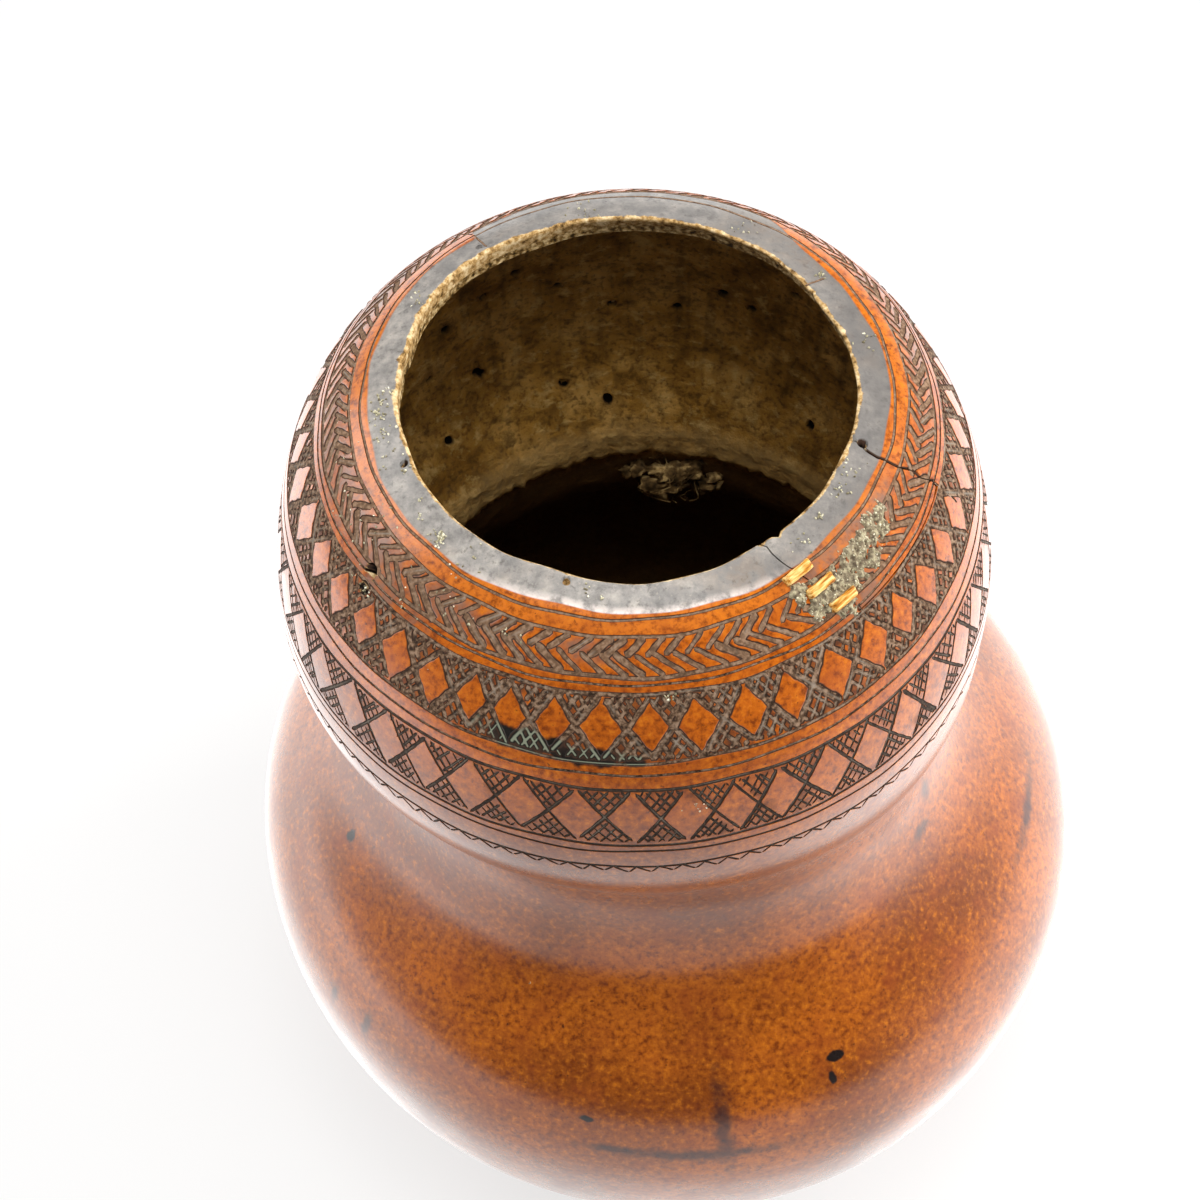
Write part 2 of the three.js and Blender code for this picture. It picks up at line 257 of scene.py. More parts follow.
class Skin:
    """Collects the triangles of one piece, welds their points and makes the object"""

    def __init__(self):
        self.points, self.triangles, self.normals, self.wraps, self.marks = [], [], [], [], []
        self.count = 0

    def add(self, points, triangles, wrap, normals=None, marks=None):
        """Normals are one for each point, or None for flat faces; marks are shares for the material"""
        corners = points[triangles]
        if normals is None:
            flat = np.cross(corners[:, 1] - corners[:, 0], corners[:, 2] - corners[:, 0])
            flat /= np.maximum(np.linalg.norm(flat, axis=1, keepdims=True), 1e-15)
            loops = np.repeat(flat[:, None], 3, axis=1)
        else:
            loops = normals[triangles]
        self.points.append(points)
        self.triangles.append(triangles + self.count)
        self.normals.append(loops)
        self.wraps.append(wrap[triangles])
        self.marks.append(np.zeros((len(points), 3)) if marks is None else marks)
        self.count += len(points)

    def object(self, name, material):
        points = np.concatenate(self.points)
        triangles = np.concatenate(self.triangles)
        keys = np.round(points / (WELD * MM)).astype(np.int64)
        kept, place_of = np.unique(keys, axis=0, return_index=True, return_inverse=True)[1:]
        triangles = place_of.reshape(-1)[triangles]
        a, b, c = triangles.T
        real = (a != b) & (b != c) & (c != a)
        triangles = triangles[real]
        mesh = bpy.data.meshes.new(name)
        mesh.from_pydata(points[kept].tolist(), [], triangles.tolist())
        uv = mesh.uv_layers.new(name="wrap")
        uv.data.foreach_set("uv", np.concatenate(self.wraps)[real].astype(np.float32).ravel())
        marks = mesh.attributes.new("marks", "FLOAT_VECTOR", "POINT")
        marks.data.foreach_set("vector", np.concatenate(self.marks)[kept].astype(np.float32).ravel())
        mesh.shade_smooth()
        mesh.normals_split_custom_set(np.concatenate(self.normals)[real].reshape(-1, 3).tolist())
        mesh.materials.append(material)
        return linked(name, mesh)


def wrap_of(along, down):
    """Where a point lies on the unrolled gourd: turns, and length from the mouth in its unit"""
    return np.stack([along / TURN, down / WRAP_UNIT], axis=-1)


class Drawing:
    """Lines drawn on the flat shoulder, which become the edges of its triangles"""

    def __init__(self):
        self.points, self.lines = [], []

    def line(self, points, closed=False):
        first = len(self.points)
        count = len(points)
        self.points.extend(points)
        self.lines.extend((first + k, first + k + 1) for k in range(count - 1))
        if closed:
            self.lines.append((first + count - 1, first))

    def dots(self, points):
        self.points.extend(points)

    def frame(self, bottom, step):
        """The drawing's four sides: mouth, lower end and the two sides of the seam"""
        levels = np.linspace(0, bottom, int(bottom / step) + 1)
        for down in (0.0, bottom):
            self.line([(x, down) for x in ROUND_ALONG])
        for side in (LEFT_END, RIGHT_END):
            self.line([(side, y) for y in levels])

    def triangles(self, bottom):
        made = delaunay_2d_cdt([Vector(p) for p in self.points], self.lines, [], 0, SAME, False)
        points = np.array([tuple(p) for p in made[0]])
        triangles = np.array(made[2])
        middle = points[triangles].mean(axis=1)
        inside = (middle[:, 0] > LEFT_END) & (middle[:, 0] < RIGHT_END)
        inside &= (middle[:, 1] > 0) & (middle[:, 1] < bottom)
        return points, triangles[inside]


def spread(bottom, step, top=0.0):
    """Even points over the drawing, clear of its sides"""
    rows = np.arange(top + step, bottom - step / 2, step)
    count = int(TURN / step)
    points = []
    for k, y in enumerate(rows):
        x = LEFT_END + (np.arange(1, count) + 0.5 * (k % 2)) * TURN / count
        points.extend((a, y) for a in x[x < RIGHT_END - SIDE_CLEAR])
    return points


def rim_edges(triangles, points, bottom):
    """Edges that need a wall: those with a triangle on one side, not on the seam or the lower end"""
    edges = np.concatenate([triangles[:, [0, 1]], triangles[:, [1, 2]], triangles[:, [2, 0]]])
    low, high = edges.min(axis=1), edges.max(axis=1)
    key = low.astype(np.int64) * (len(points) + 1) + high
    keys, counts = np.unique(key, return_counts=True)
    edges = edges[np.isin(key, keys[counts == 1])]
    x, y = points[edges][..., 0], points[edges][..., 1]
    on_seam = (abs(x - LEFT_END) < NEAR).all(axis=1) | (abs(x - RIGHT_END) < NEAR).all(axis=1)
    on_bottom = (abs(y - bottom) < NEAR).all(axis=1)
    return edges[~on_seam & ~on_bottom]


def add_walls(skin, edges, points, top, back):
    """Flat walls between two faces over the same drawing, marked as cut"""
    count = len(points)
    a, b = edges.T
    quads = np.stack([a, b, b + count, a, b + count, a + count], axis=1).reshape(-1, 3)
    wrap = np.tile(wrap_of(*points.T), (2, 1))
    skin.add(np.concatenate([top, back]), quads, wrap, marks=np.tile((0.0, 0.0, 1.0), (2 * count, 1)))


def grid_triangles(rows, columns):
    """Two triangles for each square of a grid with this many points down and across"""
    first = (np.arange(rows - 1)[:, None] * columns + np.arange(columns - 1)[None, :]).ravel()
    return np.concatenate([np.stack([first, first + columns, first + 1], axis=1),
                           np.stack([first + 1, first + columns, first + columns + 1], axis=1)])


def add_turned(skin, levels, out, inside=False):
    """A plain turned part of the gourd between levels of the outline"""
    along, down = (grid.ravel() for grid in np.meshgrid(ROUND_ALONG, levels))
    triangles = grid_triangles(len(levels), ROUND + 1)
    flush = np.full(along.shape, out)
    normals = outward(along, down, flush)
    if inside:
        normals = -normals
        triangles = triangles[:, ::-1]
    skin.add(place(along, down, flush), triangles, wrap_of(along, down), normals)


# Engraving: a groove is a straight cut with tapered ends, a ring runs round the gourd
GROOVE_DEEP = 0.45
GROOVE_WAVE = 0.15
GROOVE_WAVE_RATE = 1.9
GROOVE_OTHER_SIDE = 2.3
GROOVE_REACH = 1.5
LONGEST_TAPER = 0.45
SEAM_REACH = 2.0
RING_WAVES = (3, 7, 13, 22)
RING_WOBBLE = 0.22
FILL_LEVEL = 0.33
FILL_SUNK = 0.06
FILL_UNDER = 0.05
LOW_FILL_TOP = 37.6
ENGRAVED_END = 63.0
grooves = []
rings = []
hatched = []


def groove(start, end, width, taper):
    """A cut from one (along, down) to another, repeated past the seam where it is near it"""
    phase = rng.uniform(0, 2 * math.pi)
    for shift in (-TURN, 0, TURN):
        x0, x1 = start[0] + shift, end[0] + shift
        if max(x0, x1) > LEFT_END - SEAM_REACH and min(x0, x1) < RIGHT_END + SEAM_REACH:
            grooves.append((x0, start[1], x1, end[1], width, taper, phase))


def groove_frame(cut):
    """Local measures of a groove: stretch of the drawing there, length, direction, half width and taper"""
    x0, y0, x1, y1, width, taper, _ = cut
    stretch = stretch_at((y0 + y1) / 2)
    dx, dy = (x1 - x0) * stretch, y1 - y0
    length = math.hypot(dx, dy)
    return stretch, length, dx / length, dy / length, width / 2, min(taper, LONGEST_TAPER * length)


def groove_edge(cut, u, side):
    """How the half width of a groove waves along it, differently on its two sides"""
    start = np.where(side < 0, GROOVE_OTHER_SIDE, 1.0) * cut[-1]
    return 1 + GROOVE_WAVE * np.sin(GROOVE_WAVE_RATE * u + start)


def draw_groove(drawing, cut, level):
    """The groove's outline at a level, with its deepest line"""
    stretch, length, tx, ty, half, taper = groove_frame(cut)

    def at(u, v):
        return cut[0] + (u * tx - v * ty) / stretch, cut[1] + u * ty + v * tx

    wide = half * (1 - level)
    tip = taper * level
    steps = np.linspace(taper, length - taper, max(2, round(length - 2 * taper) + 1))
    upper = [at(u, wide * groove_edge(cut, u, 1)) for u in steps]
    lower = [at(u, -wide * groove_edge(cut, u, -1)) for u in steps[::-1]]
    drawing.line([at(tip, 0), *upper, at(length - tip, 0), *lower], closed=True)
    drawing.line([at(tip, 0), at(taper, 0), at(length - taper, 0), at(length - tip, 0)])


def ring(down, width):
    """A cut all round at a level, as wavy as a hand makes it"""
    angle = ROUND_ALONG / FLAT_R
    starts = rng.uniform(0, 2 * math.pi, len(RING_WAVES))
    wave = sum(np.sin(count * angle + start) for count, start in zip(RING_WAVES, starts))
    rings.append((down + RING_WOBBLE * wave / 2, width))


def level_at(points):
    """How deep each point of the drawing lies in a groove or ring: 0 outside, 1 at the deepest line"""
    found = np.zeros(len(points))
    order = np.argsort(points[:, 0])
    sorted_x = points[order, 0]
    for cut in grooves:
        stretch, length, tx, ty, half, taper = groove_frame(cut)
        ends = min(cut[0], cut[2]) - GROOVE_REACH, max(cut[0], cut[2]) + GROOVE_REACH
        low, high = np.searchsorted(sorted_x, ends)
        near = order[low:high]
        dx = (points[near, 0] - cut[0]) * stretch
        dy = points[near, 1] - cut[1]
        u, v = dx * tx + dy * ty, dy * tx - dx * ty
        rise = np.minimum(np.minimum(u, length - u) / taper, 1)
        found[near] = np.maximum(found[near], rise - abs(v) / (half * groove_edge(cut, u, v)))
    for heights, width in rings:
        away = abs(points[:, 1] - np.interp(points[:, 0], ROUND_ALONG, heights))
        found = np.maximum(found, 1 - 2 * away / width)
    return found


# Bands of the engraving, as lengths down from the mouth; a ring also has its width
RIM_EDGE = 6.6
RING_LINES = ((7.9, 0.65), (10.9, 0.8), (18.0, 1.0), (19.5, 0.5), (21.2, 1.0), (33.6, 0.8),
              (36.2, 0.6), (39.0, 0.8), (52.6, 0.8), (54.7, 0.65), (59.6, 0.75))
HERRINGBONE = (10.8, 14.2, 18.1)
HERRINGBONE_COUNT = 98
HERRINGBONE_SLANTS = (3.9, 5.2)
HERRINGBONE_STARTS = (0.0, 0.5)
HERRINGBONE_UNEVEN = 0.12
HERRINGBONE_CUT = 1.55
HERRINGBONE_WIDTHS = (0.7, 1.3)
HERRINGBONE_TAPER = 0.6
HERRINGBONE_PAST = 0.14
HERRINGBONE_PASTS = (0.6, 1.3)
APEX_JOG = 0.25
TAIL_JOG = 0.4
ZIGZAG = (59.7, 61.8)
ZIGZAG_COUNT = 104
ZIGZAG_CUTS = (0.62, 0.55)
ZIGZAG_TAPER = 0.5
ZIGZAG_DIP = 0.62
ZIGZAG_JOG = 0.3
ZIGZAG_DROP = (-0.35, 0.2)
ZIGZAG_PAST = 0.1

# Lozenges: how many to a band, the angles of those in front, and the band's levels, cuts and dirt
HIGH_COUNT = 46
HIGH_FRONT = (-116.5, -109.6, -102.6, -94.5, -86.7, -79.0, -70.4, -62.8, -54.4, -45.1)
HIGH_BAND = {"top": 21.3, "bottom": 33.3, "side": 1.75, "hatch": 1.05,
             "shares": (0.25, 0.5, 0.75), "dirt": 0.17}
LOW_COUNT = 45
LOW_FRONT = (-115.4, -107.2, -98.8, -90.0, -82.1, -74.6, -67.2, -59.0)
LOW_BAND = {"top": 39.4, "bottom": 51.9, "side": 0.8, "hatch": 0.55,
            "shares": (0.2, 0.4, 0.6, 0.8), "dirt": 0.1}
BACK_UNEVEN = 0.012
SIDE_JOG = 0.5
SIDE_WIDTHS = (0.75, 1.2)
SIDE_TAPER = 0.7
HATCH_JOG = 0.2
HATCH_SHIFT = 0.05
HATCH_WIDTHS = (0.75, 1.25)
HATCH_TAPER = 0.6


def lozenge_angles(front, count):
    """Angles of a band's lozenges: those in front as they were cut, the rest evenly round the back"""
    front = np.radians(front)
    gap = 2 * math.pi - (front[-1] - front[0])
    rest = count - len(front) + 1
    even = front[-1] + gap * np.arange(1, rest) / rest
    even += rng.uniform(-BACK_UNEVEN, BACK_UNEVEN, len(even))
    turned = np.r_[front, even]
    turned[turned > SEAM] -= 2 * math.pi
    return np.sort(turned)


def lozenge_band(angles, top, bottom, side, hatch, shares, dirt):
    """Crossing cuts that leave lozenges, with the corners between them cross-hatched and dirty"""
    along = angles * FLAT_R
    along = np.r_[along, along[0] + TURN]
    middle = (top + bottom) / 2

    def mix(a, b, share):
        return tuple(p + (q - p) * share for p, q in zip(a, b))

    def jog(point, size):
        return tuple(p + rng.uniform(-size, size) for p in point)

    hatched.append((along, top, bottom, dirt))
    for left, right in zip(along[:-1], along[1:]):
        for start, end in (((left, top), (right, bottom)), ((right, top), (left, bottom))):
            groove(jog(start, SIDE_JOG), jog(end, SIDE_JOG), side * rng.uniform(*SIDE_WIDTHS), SIDE_TAPER)
        apex = ((left + right) / 2, middle)
        for edge in (top, bottom):
            corners = ((left, edge), (right, edge))
            for a, b in (corners, corners[::-1]):
                for share in shares:
                    cut_at = share + rng.uniform(-HATCH_SHIFT, HATCH_SHIFT)
                    start = jog(mix(a, b, cut_at), HATCH_JOG)
                    end = jog(mix(apex, b, cut_at), HATCH_JOG)
                    groove(start, end, hatch * rng.uniform(*HATCH_WIDTHS), HATCH_TAPER)


def engrave():
    """All cuts of the shoulder, from the rim down to the waist, and the hairline cracks"""
    for down, width in RING_LINES:
        ring(down, width)
    top, middle, bottom = HERRINGBONE
    stretch = stretch_at(middle)
    for k in range(HERRINGBONE_COUNT):
        uneven = rng.uniform(-HERRINGBONE_UNEVEN, HERRINGBONE_UNEVEN)
        for edge, slant, start in zip((top, bottom), HERRINGBONE_SLANTS, HERRINGBONE_STARTS):
            x = LEFT_END + (k + start + uneven) * TURN / HERRINGBONE_COUNT
            reach = slant / stretch
            past = HERRINGBONE_PAST * rng.uniform(*HERRINGBONE_PASTS)
            apex = (x - past * reach + rng.uniform(-APEX_JOG, APEX_JOG), middle - past * (edge - middle))
            tail = (x + reach + rng.uniform(-TAIL_JOG, TAIL_JOG), edge)
            groove(apex, tail, HERRINGBONE_CUT * rng.uniform(*HERRINGBONE_WIDTHS), HERRINGBONE_TAPER)
    lozenge_band(lozenge_angles(HIGH_FRONT, HIGH_COUNT), **HIGH_BAND)
    lozenge_band(lozenge_angles(LOW_FRONT, LOW_COUNT), **LOW_BAND)
    step = TURN / ZIGZAG_COUNT
    high, low = ZIGZAG
    for k in range(ZIGZAG_COUNT):
        x = LEFT_END + k * step
        dip_x = x + ZIGZAG_DIP * step + rng.uniform(-ZIGZAG_JOG, ZIGZAG_JOG)
        dip = (dip_x, low + rng.uniform(*ZIGZAG_DROP))
        groove((x - ZIGZAG_PAST, high), dip, ZIGZAG_CUTS[0], ZIGZAG_TAPER)
        groove(dip, (x + step + ZIGZAG_PAST, high), ZIGZAG_CUTS[1], ZIGZAG_TAPER)
    for ends in RIM_CRACKS:
        start, end = ((math.radians(angle) * FLAT_R, down) for angle, down in ends)
        groove(start, end, RIM_CRACK_WIDE, RIM_CRACK_TAPER)


# Round holes: angle, length down from the mouth, radius and depth
RIM_HOLES = ((128.6, 3.0, 0.85, 2.4), (-157.0, 2.0, 0.9, 2.4), (-15.9, 2.8, 1.15, 2.6),
             (-104.1, 1.9, 0.85, 1.1), (-143.4, 18.8, 1.6, 2.6), (-143.0, 22.1, 1.35, 0.4))
HOLE_SIDES = 14
HOLE_WALL = 0.22
# HOLE_SHADE and HOLE_DARK set the painted shade in the holes: its offset toward the mouth and the depth
# where it starts; HOLE_CUT colours their walls as cut
HOLE_SHADE = 0.35
HOLE_CUT = 3.0
HOLE_DARK = 1.2
# Hairline cracks in the rim: angle and length at both ends
RIM_CRACKS = (((127.4, 1.6), (126.6, 8.4)), ((126.6, 8.4), (127.6, 20.0)), ((35.7, 0.2), (35.9, 5.2)),
              ((-14.0, 19.5), (-12.6, 27.0)), ((-45.2, 19.5), (-44.0, 24.0)))
RIM_CRACK_WIDE = 0.5
RIM_CRACK_TAPER = 0.4
LIP_ROUND = 1.1
LIP_LEVELS = (0.12, 0.35, 0.7, LIP_ROUND, 2.4, 4.2)
LIP_SMOOTH = LIP_ROUND + 0.6
RIM_SINK = 0.22
RIM_BEVEL = 0.3
# Width of the painted glint inside the burnt band's edge
RIM_GLINT = 1.6


def hole_relief(points, holes):
    """Depth of round holes with short sloping walls"""
    found = np.zeros(len(points))
    for angle, down, radius, deep in holes:
        away = np.hypot((points[:, 0] - along_at(angle)) * stretch_at(down), points[:, 1] - down)
        found = np.maximum(found, deep * np.clip((radius - away) / (HOLE_WALL * radius), 0, 1))
    return found


def draw_holes(drawing, holes):
    """Outlines of round holes, at the face and at the foot of their walls"""
    turn = np.arange(HOLE_SIDES) * 2 * math.pi / HOLE_SIDES
    for angle, down, radius, _ in holes:
        for size in (radius, (1 - HOLE_WALL) * radius):
            x = along_at(angle) + size * np.cos(turn) / stretch_at(down)
            drawing.line(list(zip(x, down + size * np.sin(turn))), closed=True)


# Burnt band and cut edge of the rim
BACK_BURN = 4.4
BACK_BURN_START = (44.0, 60.0)
BACK_BURN_END = (125.5, 127.0)
RIM_EDGE_WAVES = ((5, 0.28, 1.0), (11, 0.2, 0.0), (23, 0.12, 2.0))
LIP_FRONT = 0.5
LIP_BACK = 1.0
LIP_TURN = (-0.9, -0.35)
DIRT_NOISE = (0.35, 0.35, 2.0)
DIRT_EVEN = 0.6


def lip_wide(along):
    """How wide the crumbly cut edge is: narrow in front, wide at the sides and back"""
    return LIP_FRONT + (LIP_BACK - LIP_FRONT) * ease(np.sin(along / FLAT_R), *LIP_TURN)


def rim_edge_at(along):
    """Where the burnt band ends, wavering a little, and further down along the back"""
    angle = along / FLAT_R
    turn = np.degrees(angle) % 360
    back = BACK_BURN * ease(turn, *BACK_BURN_START) * (1 - ease(turn, *BACK_BURN_END))
    return RIM_EDGE + back + waves(angle, RIM_EDGE_WAVES)


def hatch_dirt(points):
    """Dirt on the small lands of the cross-hatching, patchy"""
    found = np.zeros(len(points))
    for along, top, bottom, strength in hatched:
        rise = (points[:, 1] - top) / (bottom - top)
        inside = np.flatnonzero((rise > 0) & (rise < 1))
        x = along[0] + (points[inside, 0] - along[0]) % TURN
        k = np.clip(np.searchsorted(along, x) - 1, 0, len(along) - 2)
        share = (x - along[k]) / (along[k + 1] - along[k])
        rise = rise[inside]
        corner = np.minimum(rise, 1 - rise) < np.minimum(share, 1 - share)
        patch = rough_at(points[inside], *DIRT_NOISE)
        found[inside] = corner * strength * np.clip(DIRT_EVEN + patch, 0, 1)
    return found


def open_crack_wear(points):
    """How worn the rind is along the open crack, from the hole at its start to the lower break"""
    along, down = points.T
    line = shard_outline(0.0)[:-CRACK_STEPS - 2:-1]
    middle = np.interp(down, line[:, 1], line[:, 0])
    away = abs(along - middle) * stretch_at(down) - CRACK / 2
    return np.clip(1 - away / CRACK_WORN, 0, 1) * (down > CRACK_WORN_TOP) * (down <= line[-1, 1])


def relief(points):
    """Depth below the smooth rind, level in a groove, and marks: groove dirt with painted shade in the
    holes, burnt band with a painted glint along its edge, and cut
    """
    along, down = points.T
    level = np.clip(level_at(points), 0, 1)
    holes = hole_relief(points, RIM_HOLES)
    burnt = np.clip((rim_edge_at(along) + RIM_BEVEL - down) / RIM_BEVEL, 0, 1)
    crack = open_crack_wear(points)
    depth = np.maximum(np.maximum(GROOVE_DEEP * level, holes), RIM_SINK * burnt)
    depth = np.maximum(depth, CRACK_WORN_DEEP * crack)
    near_edge = np.clip(LIP_ROUND - down, 0, LIP_ROUND)
    cut = np.maximum(np.clip(1 - down / (2 * lip_wide(along)), 0, 1), np.clip(HOLE_CUT * holes, 0, 1))
    # Painted shade: the deep part of each hole, offset toward the mouth, is marked dark from the depth
    # HOLE_DARK on
    shaded = np.minimum(holes, hole_relief(points + (0, HOLE_SHADE), RIM_HOLES))
    dark = np.maximum(np.maximum(level, np.clip(shaded - HOLE_DARK, 0, 1)), CRACK_DARK * crack)
    # Share across the painted glint inside the burnt band's edge, carried in the band mark
    within_band = np.clip((rim_edge_at(along) - down) / RIM_GLINT, 0, 1)
    marks = np.stack([np.maximum(dark, hatch_dirt(points)), (burnt + within_band) / 2, cut], axis=-1)
    return depth + LIP_ROUND - np.sqrt(LIP_ROUND ** 2 - near_edge ** 2), level, marks


# Broken rim piece
def crack_angle(degrees, radius):
    """Angle of a crack at a radius, from its angles at the mouth, the band's edge and the lower break"""
    return np.radians(np.interp(radius, [MOUTH_R, RIM_R, SHARD_R], degrees))


def shard_outline(grow):
    """Closed outline of the broken piece in the drawing, grown by a distance, running out over the mouth"""
    bottom = down_at_radius(SHARD_R)
    down = np.r_[-PAST_MOUTH, np.linspace(0, bottom, CRACK_STEPS)]
    radius = np.interp(np.maximum(down, 0), ARC, OUT_R)
    jagged = sum(size * np.sin(down * rate + start) for size, rate, start in JAGS)
    stitched = crack_angle(STITCHED_CRACK, radius) * FLAT_R + (jagged - grow) * FLAT_R / radius
    opened = crack_angle(OPEN_CRACK, radius) * FLAT_R + (jagged + grow) * FLAT_R / radius
    down = down + np.r_[np.zeros(len(down) - 1), grow]
    lower = np.linspace(stitched[-1], opened[-1], BREAK_STEPS)[1:-1]
    return np.array([*zip(stitched, down), *((x, bottom + grow) for x in lower),
                     *zip(opened[::-1], down[::-1])])


def within(points, polygon):
    """Which points lie inside a closed outline"""
    x, y = points.T
    inside = np.zeros(len(points), bool)
    for (x0, y0), (x1, y1) in zip(polygon, np.roll(polygon, -1, axis=0)):
        if y0 != y1:
            crosses = ((y0 > y) != (y1 > y)) & (x < (x1 - x0) * (y - y0) / (y1 - y0) + x0)
            inside ^= crosses
    return inside


def draw_shard(drawing):
    """Both sides of the crack, and the worn strips along it"""
    for grow in (-CRACK / 2 - CRACK_WORN, -CRACK / 2, CRACK / 2, CRACK / 2 + CRACK_WORN):
        drawing.line([tuple(p) for p in shard_outline(grow)[1:-1]])


def split_by_crack(points, triangles):
    """Triangles of the shell and of the broken piece; those in the crack belong to neither"""
    middle = points[triangles].mean(axis=1)
    shell = ~within(middle, shard_outline(CRACK / 2))
    shard = within(middle, shard_outline(-CRACK / 2))
    return triangles[shell], triangles[shard]


# Rind and what fills its grooves; steps are the spacing of points in millimetres
FRAME_STEP = 4
BACK_STEP = 6
SHOULDER_STEP = 3.4
SHOULDER_TOP = 6
BELLY_ROWS = 90
LAND = 1e-3


def used(points, triangles):
    """The points that faces or edges use, the faces over those points, and which points they are"""
    kept, place_of = np.unique(triangles, return_inverse=True)
    return points[kept], place_of.reshape(triangles.shape), kept


def backed_piece(skin, points, triangles, depth, level, marks, inside_test):
    """Outer face with its relief, a plain back on the inside of the rind, and walls between them"""
    points, triangles, kept = used(points, triangles)
    depth, level, marks = depth[kept], level[kept], marks[kept]
    along, down = points.T
    top = place(along, down, -depth)
    smooth = outward(along, down, np.zeros(len(points)))
    wrap = wrap_of(along, down)
    faces = triangles[:, ::-1]
    land = level[faces].max(axis=1) < LAND
    lip = down[faces].max(axis=1) < LIP_SMOOTH
    skin.add(top, faces[land & ~lip], wrap, smooth, marks)
    skin.add(top, faces[~land & ~lip], wrap, marks=marks)
    skin.add(top, faces[lip], wrap, point_normals(top, faces[lip]), marks)
    edges = rim_edges(triangles, points, ENGRAVED_END)
    back = place(along, down, np.full(len(points), -RIND))
    add_walls(skin, edges, points, top, back)
    inner = Drawing()
    wall_points, wall_lines, _ = used(points, edges)
    inner.dots([tuple(p) for p in wall_points])
    inner.lines.extend(map(tuple, wall_lines))
    inner.frame(ENGRAVED_END, BACK_STEP)
    inner.dots(spread(ENGRAVED_END, BACK_STEP))
    back_points, back_triangles = inner.triangles(ENGRAVED_END)
    back_triangles = back_triangles[inside_test(back_points[back_triangles].mean(axis=1))]
    bx, by = back_points.T
    flush = np.full(len(back_points), -RIND)
    skin.add(place(bx, by, flush), back_triangles, wrap_of(bx, by), -outward(bx, by, flush))


def draw_engraving(drawing, level):
    """Outlines of all cuts at a level, with the holes and the crack"""
    for cut in grooves:
        draw_groove(drawing, cut, level)
    for heights, width in rings:
        for side in (-0.5, 0, 0.5):
            drawing.line(list(zip(ROUND_ALONG, heights + side * width * (1 - level))))
    draw_holes(drawing, RIM_HOLES)
    draw_shard(drawing)


def shell_and_shard(rind):
    """The engraved rind with the plain belly under it, and the broken piece"""
    drawing = Drawing()
    drawing.frame(ENGRAVED_END, FRAME_STEP)
    for down in LIP_LEVELS:
        drawing.dots([(x, down) for x in ROUND_ALONG])
    for extra in (-RIM_GLINT, 0, RIM_BEVEL):
        drawing.line(list(zip(ROUND_ALONG, rim_edge_at(ROUND_ALONG) + extra)))
    drawing.dots(spread(ENGRAVED_END, SHOULDER_STEP, SHOULDER_TOP))
    draw_engraving(drawing, 0)
    points, triangles = drawing.triangles(ENGRAVED_END)
    looks = relief(points)
    shell_part, shard_part = split_by_crack(points, triangles)
    shell = Skin()
    backed_piece(shell, points, shell_part, *looks, lambda p: ~within(p, shard_outline(CRACK / 2)))
    levels = np.linspace(ENGRAVED_END, LENGTH, BELLY_ROWS)
    add_turned(shell, levels, 0.0)
    add_turned(shell, np.r_[levels[::2], LENGTH], -RIND, inside=True)
    shard = Skin()
    backed_piece(shard, points, shard_part, *looks, lambda p: within(p, shard_outline(-CRACK / 2)))
    return shell.object("gourd_rind", rind), shard.object("rim_shard_rind", rind)


def soot_fill(material):
    """Dark filling a little below the rind: two pieces on the shell, one on the broken piece"""
    drawing = Drawing()
    drawing.frame(ENGRAVED_END, FRAME_STEP)
    drawing.dots(spread(ENGRAVED_END, BACK_STEP))
    draw_engraving(drawing, FILL_LEVEL)
    points, triangles = drawing.triangles(ENGRAVED_END)
    middle = points[triangles].mean(axis=1)
    filled = (level_at(middle) > FILL_LEVEL) & (hole_relief(middle, RIM_HOLES) == 0)
    shell_part, shard_part = split_by_crack(points, triangles[filled])
    low = points[shell_part].mean(axis=1)[:, 1] > LOW_FILL_TOP
    parts = {"engraving_fill": shell_part[~low], "low_engraving_fill": shell_part[low],
             "shard_engraving_fill": shard_part}
    made = []
    for name, part in parts.items():
        skin = Skin()
        area, faces, _ = used(points, part)
        along, down = area.T
        marks = np.zeros((len(area), 3))
        marks[:, 0] = np.clip(level_at(area), 0, 1)
        sunk = np.full(len(area), -(FILL_LEVEL + FILL_SUNK) * GROOVE_DEEP)
        deep = np.full(len(area), -GROOVE_DEEP - FILL_UNDER)
        top, back = place(along, down, sunk), place(along, down, deep)
        wrap = wrap_of(along, down)
        skin.add(top, faces[:, ::-1], wrap, outward(along, down, sunk), marks)
        skin.add(back, faces, wrap)
        add_walls(skin, rim_edges(faces, area, ENGRAVED_END), area, top, back)
        made.append(skin.object(name, material))
    return made


# Corky lining; worm holes are an angle and a depth below the mouth
WORM_HOLES = ((118.6, 33.6), (103.8, 37.2), (93.4, 45.2), (81.2, 46.0), (72.6, 39.8), (67.1, 42.1),
              (105.9, 66.1), (120.7, 56.8), (121.6, 55.6), (53.1, 68.2), (133.6, 67.2), (131.4, 50.2),
              (112.0, 30.0), (127.0, 38.0), (142.0, 46.0), (58.0, 33.0), (98.0, 71.0), (150.0, 60.0),
              (38.0, 55.0), (-160.0, 50.0), (-60.0, 44.0))
WORM_HOLE_R = 1.35
WORM_HOLE_DEEP = 1.35
# Painted shade in the worm holes grows this fast with their depth
PIT_DARK = 2.0
LINING_FINE_END = 124.0
LINING_STEP = 1.15
LINING_FRAME_STEP = 3
LINING_ROWS = 46
LIP_MEET = 0.02
LIP_MEET_END = 3.0
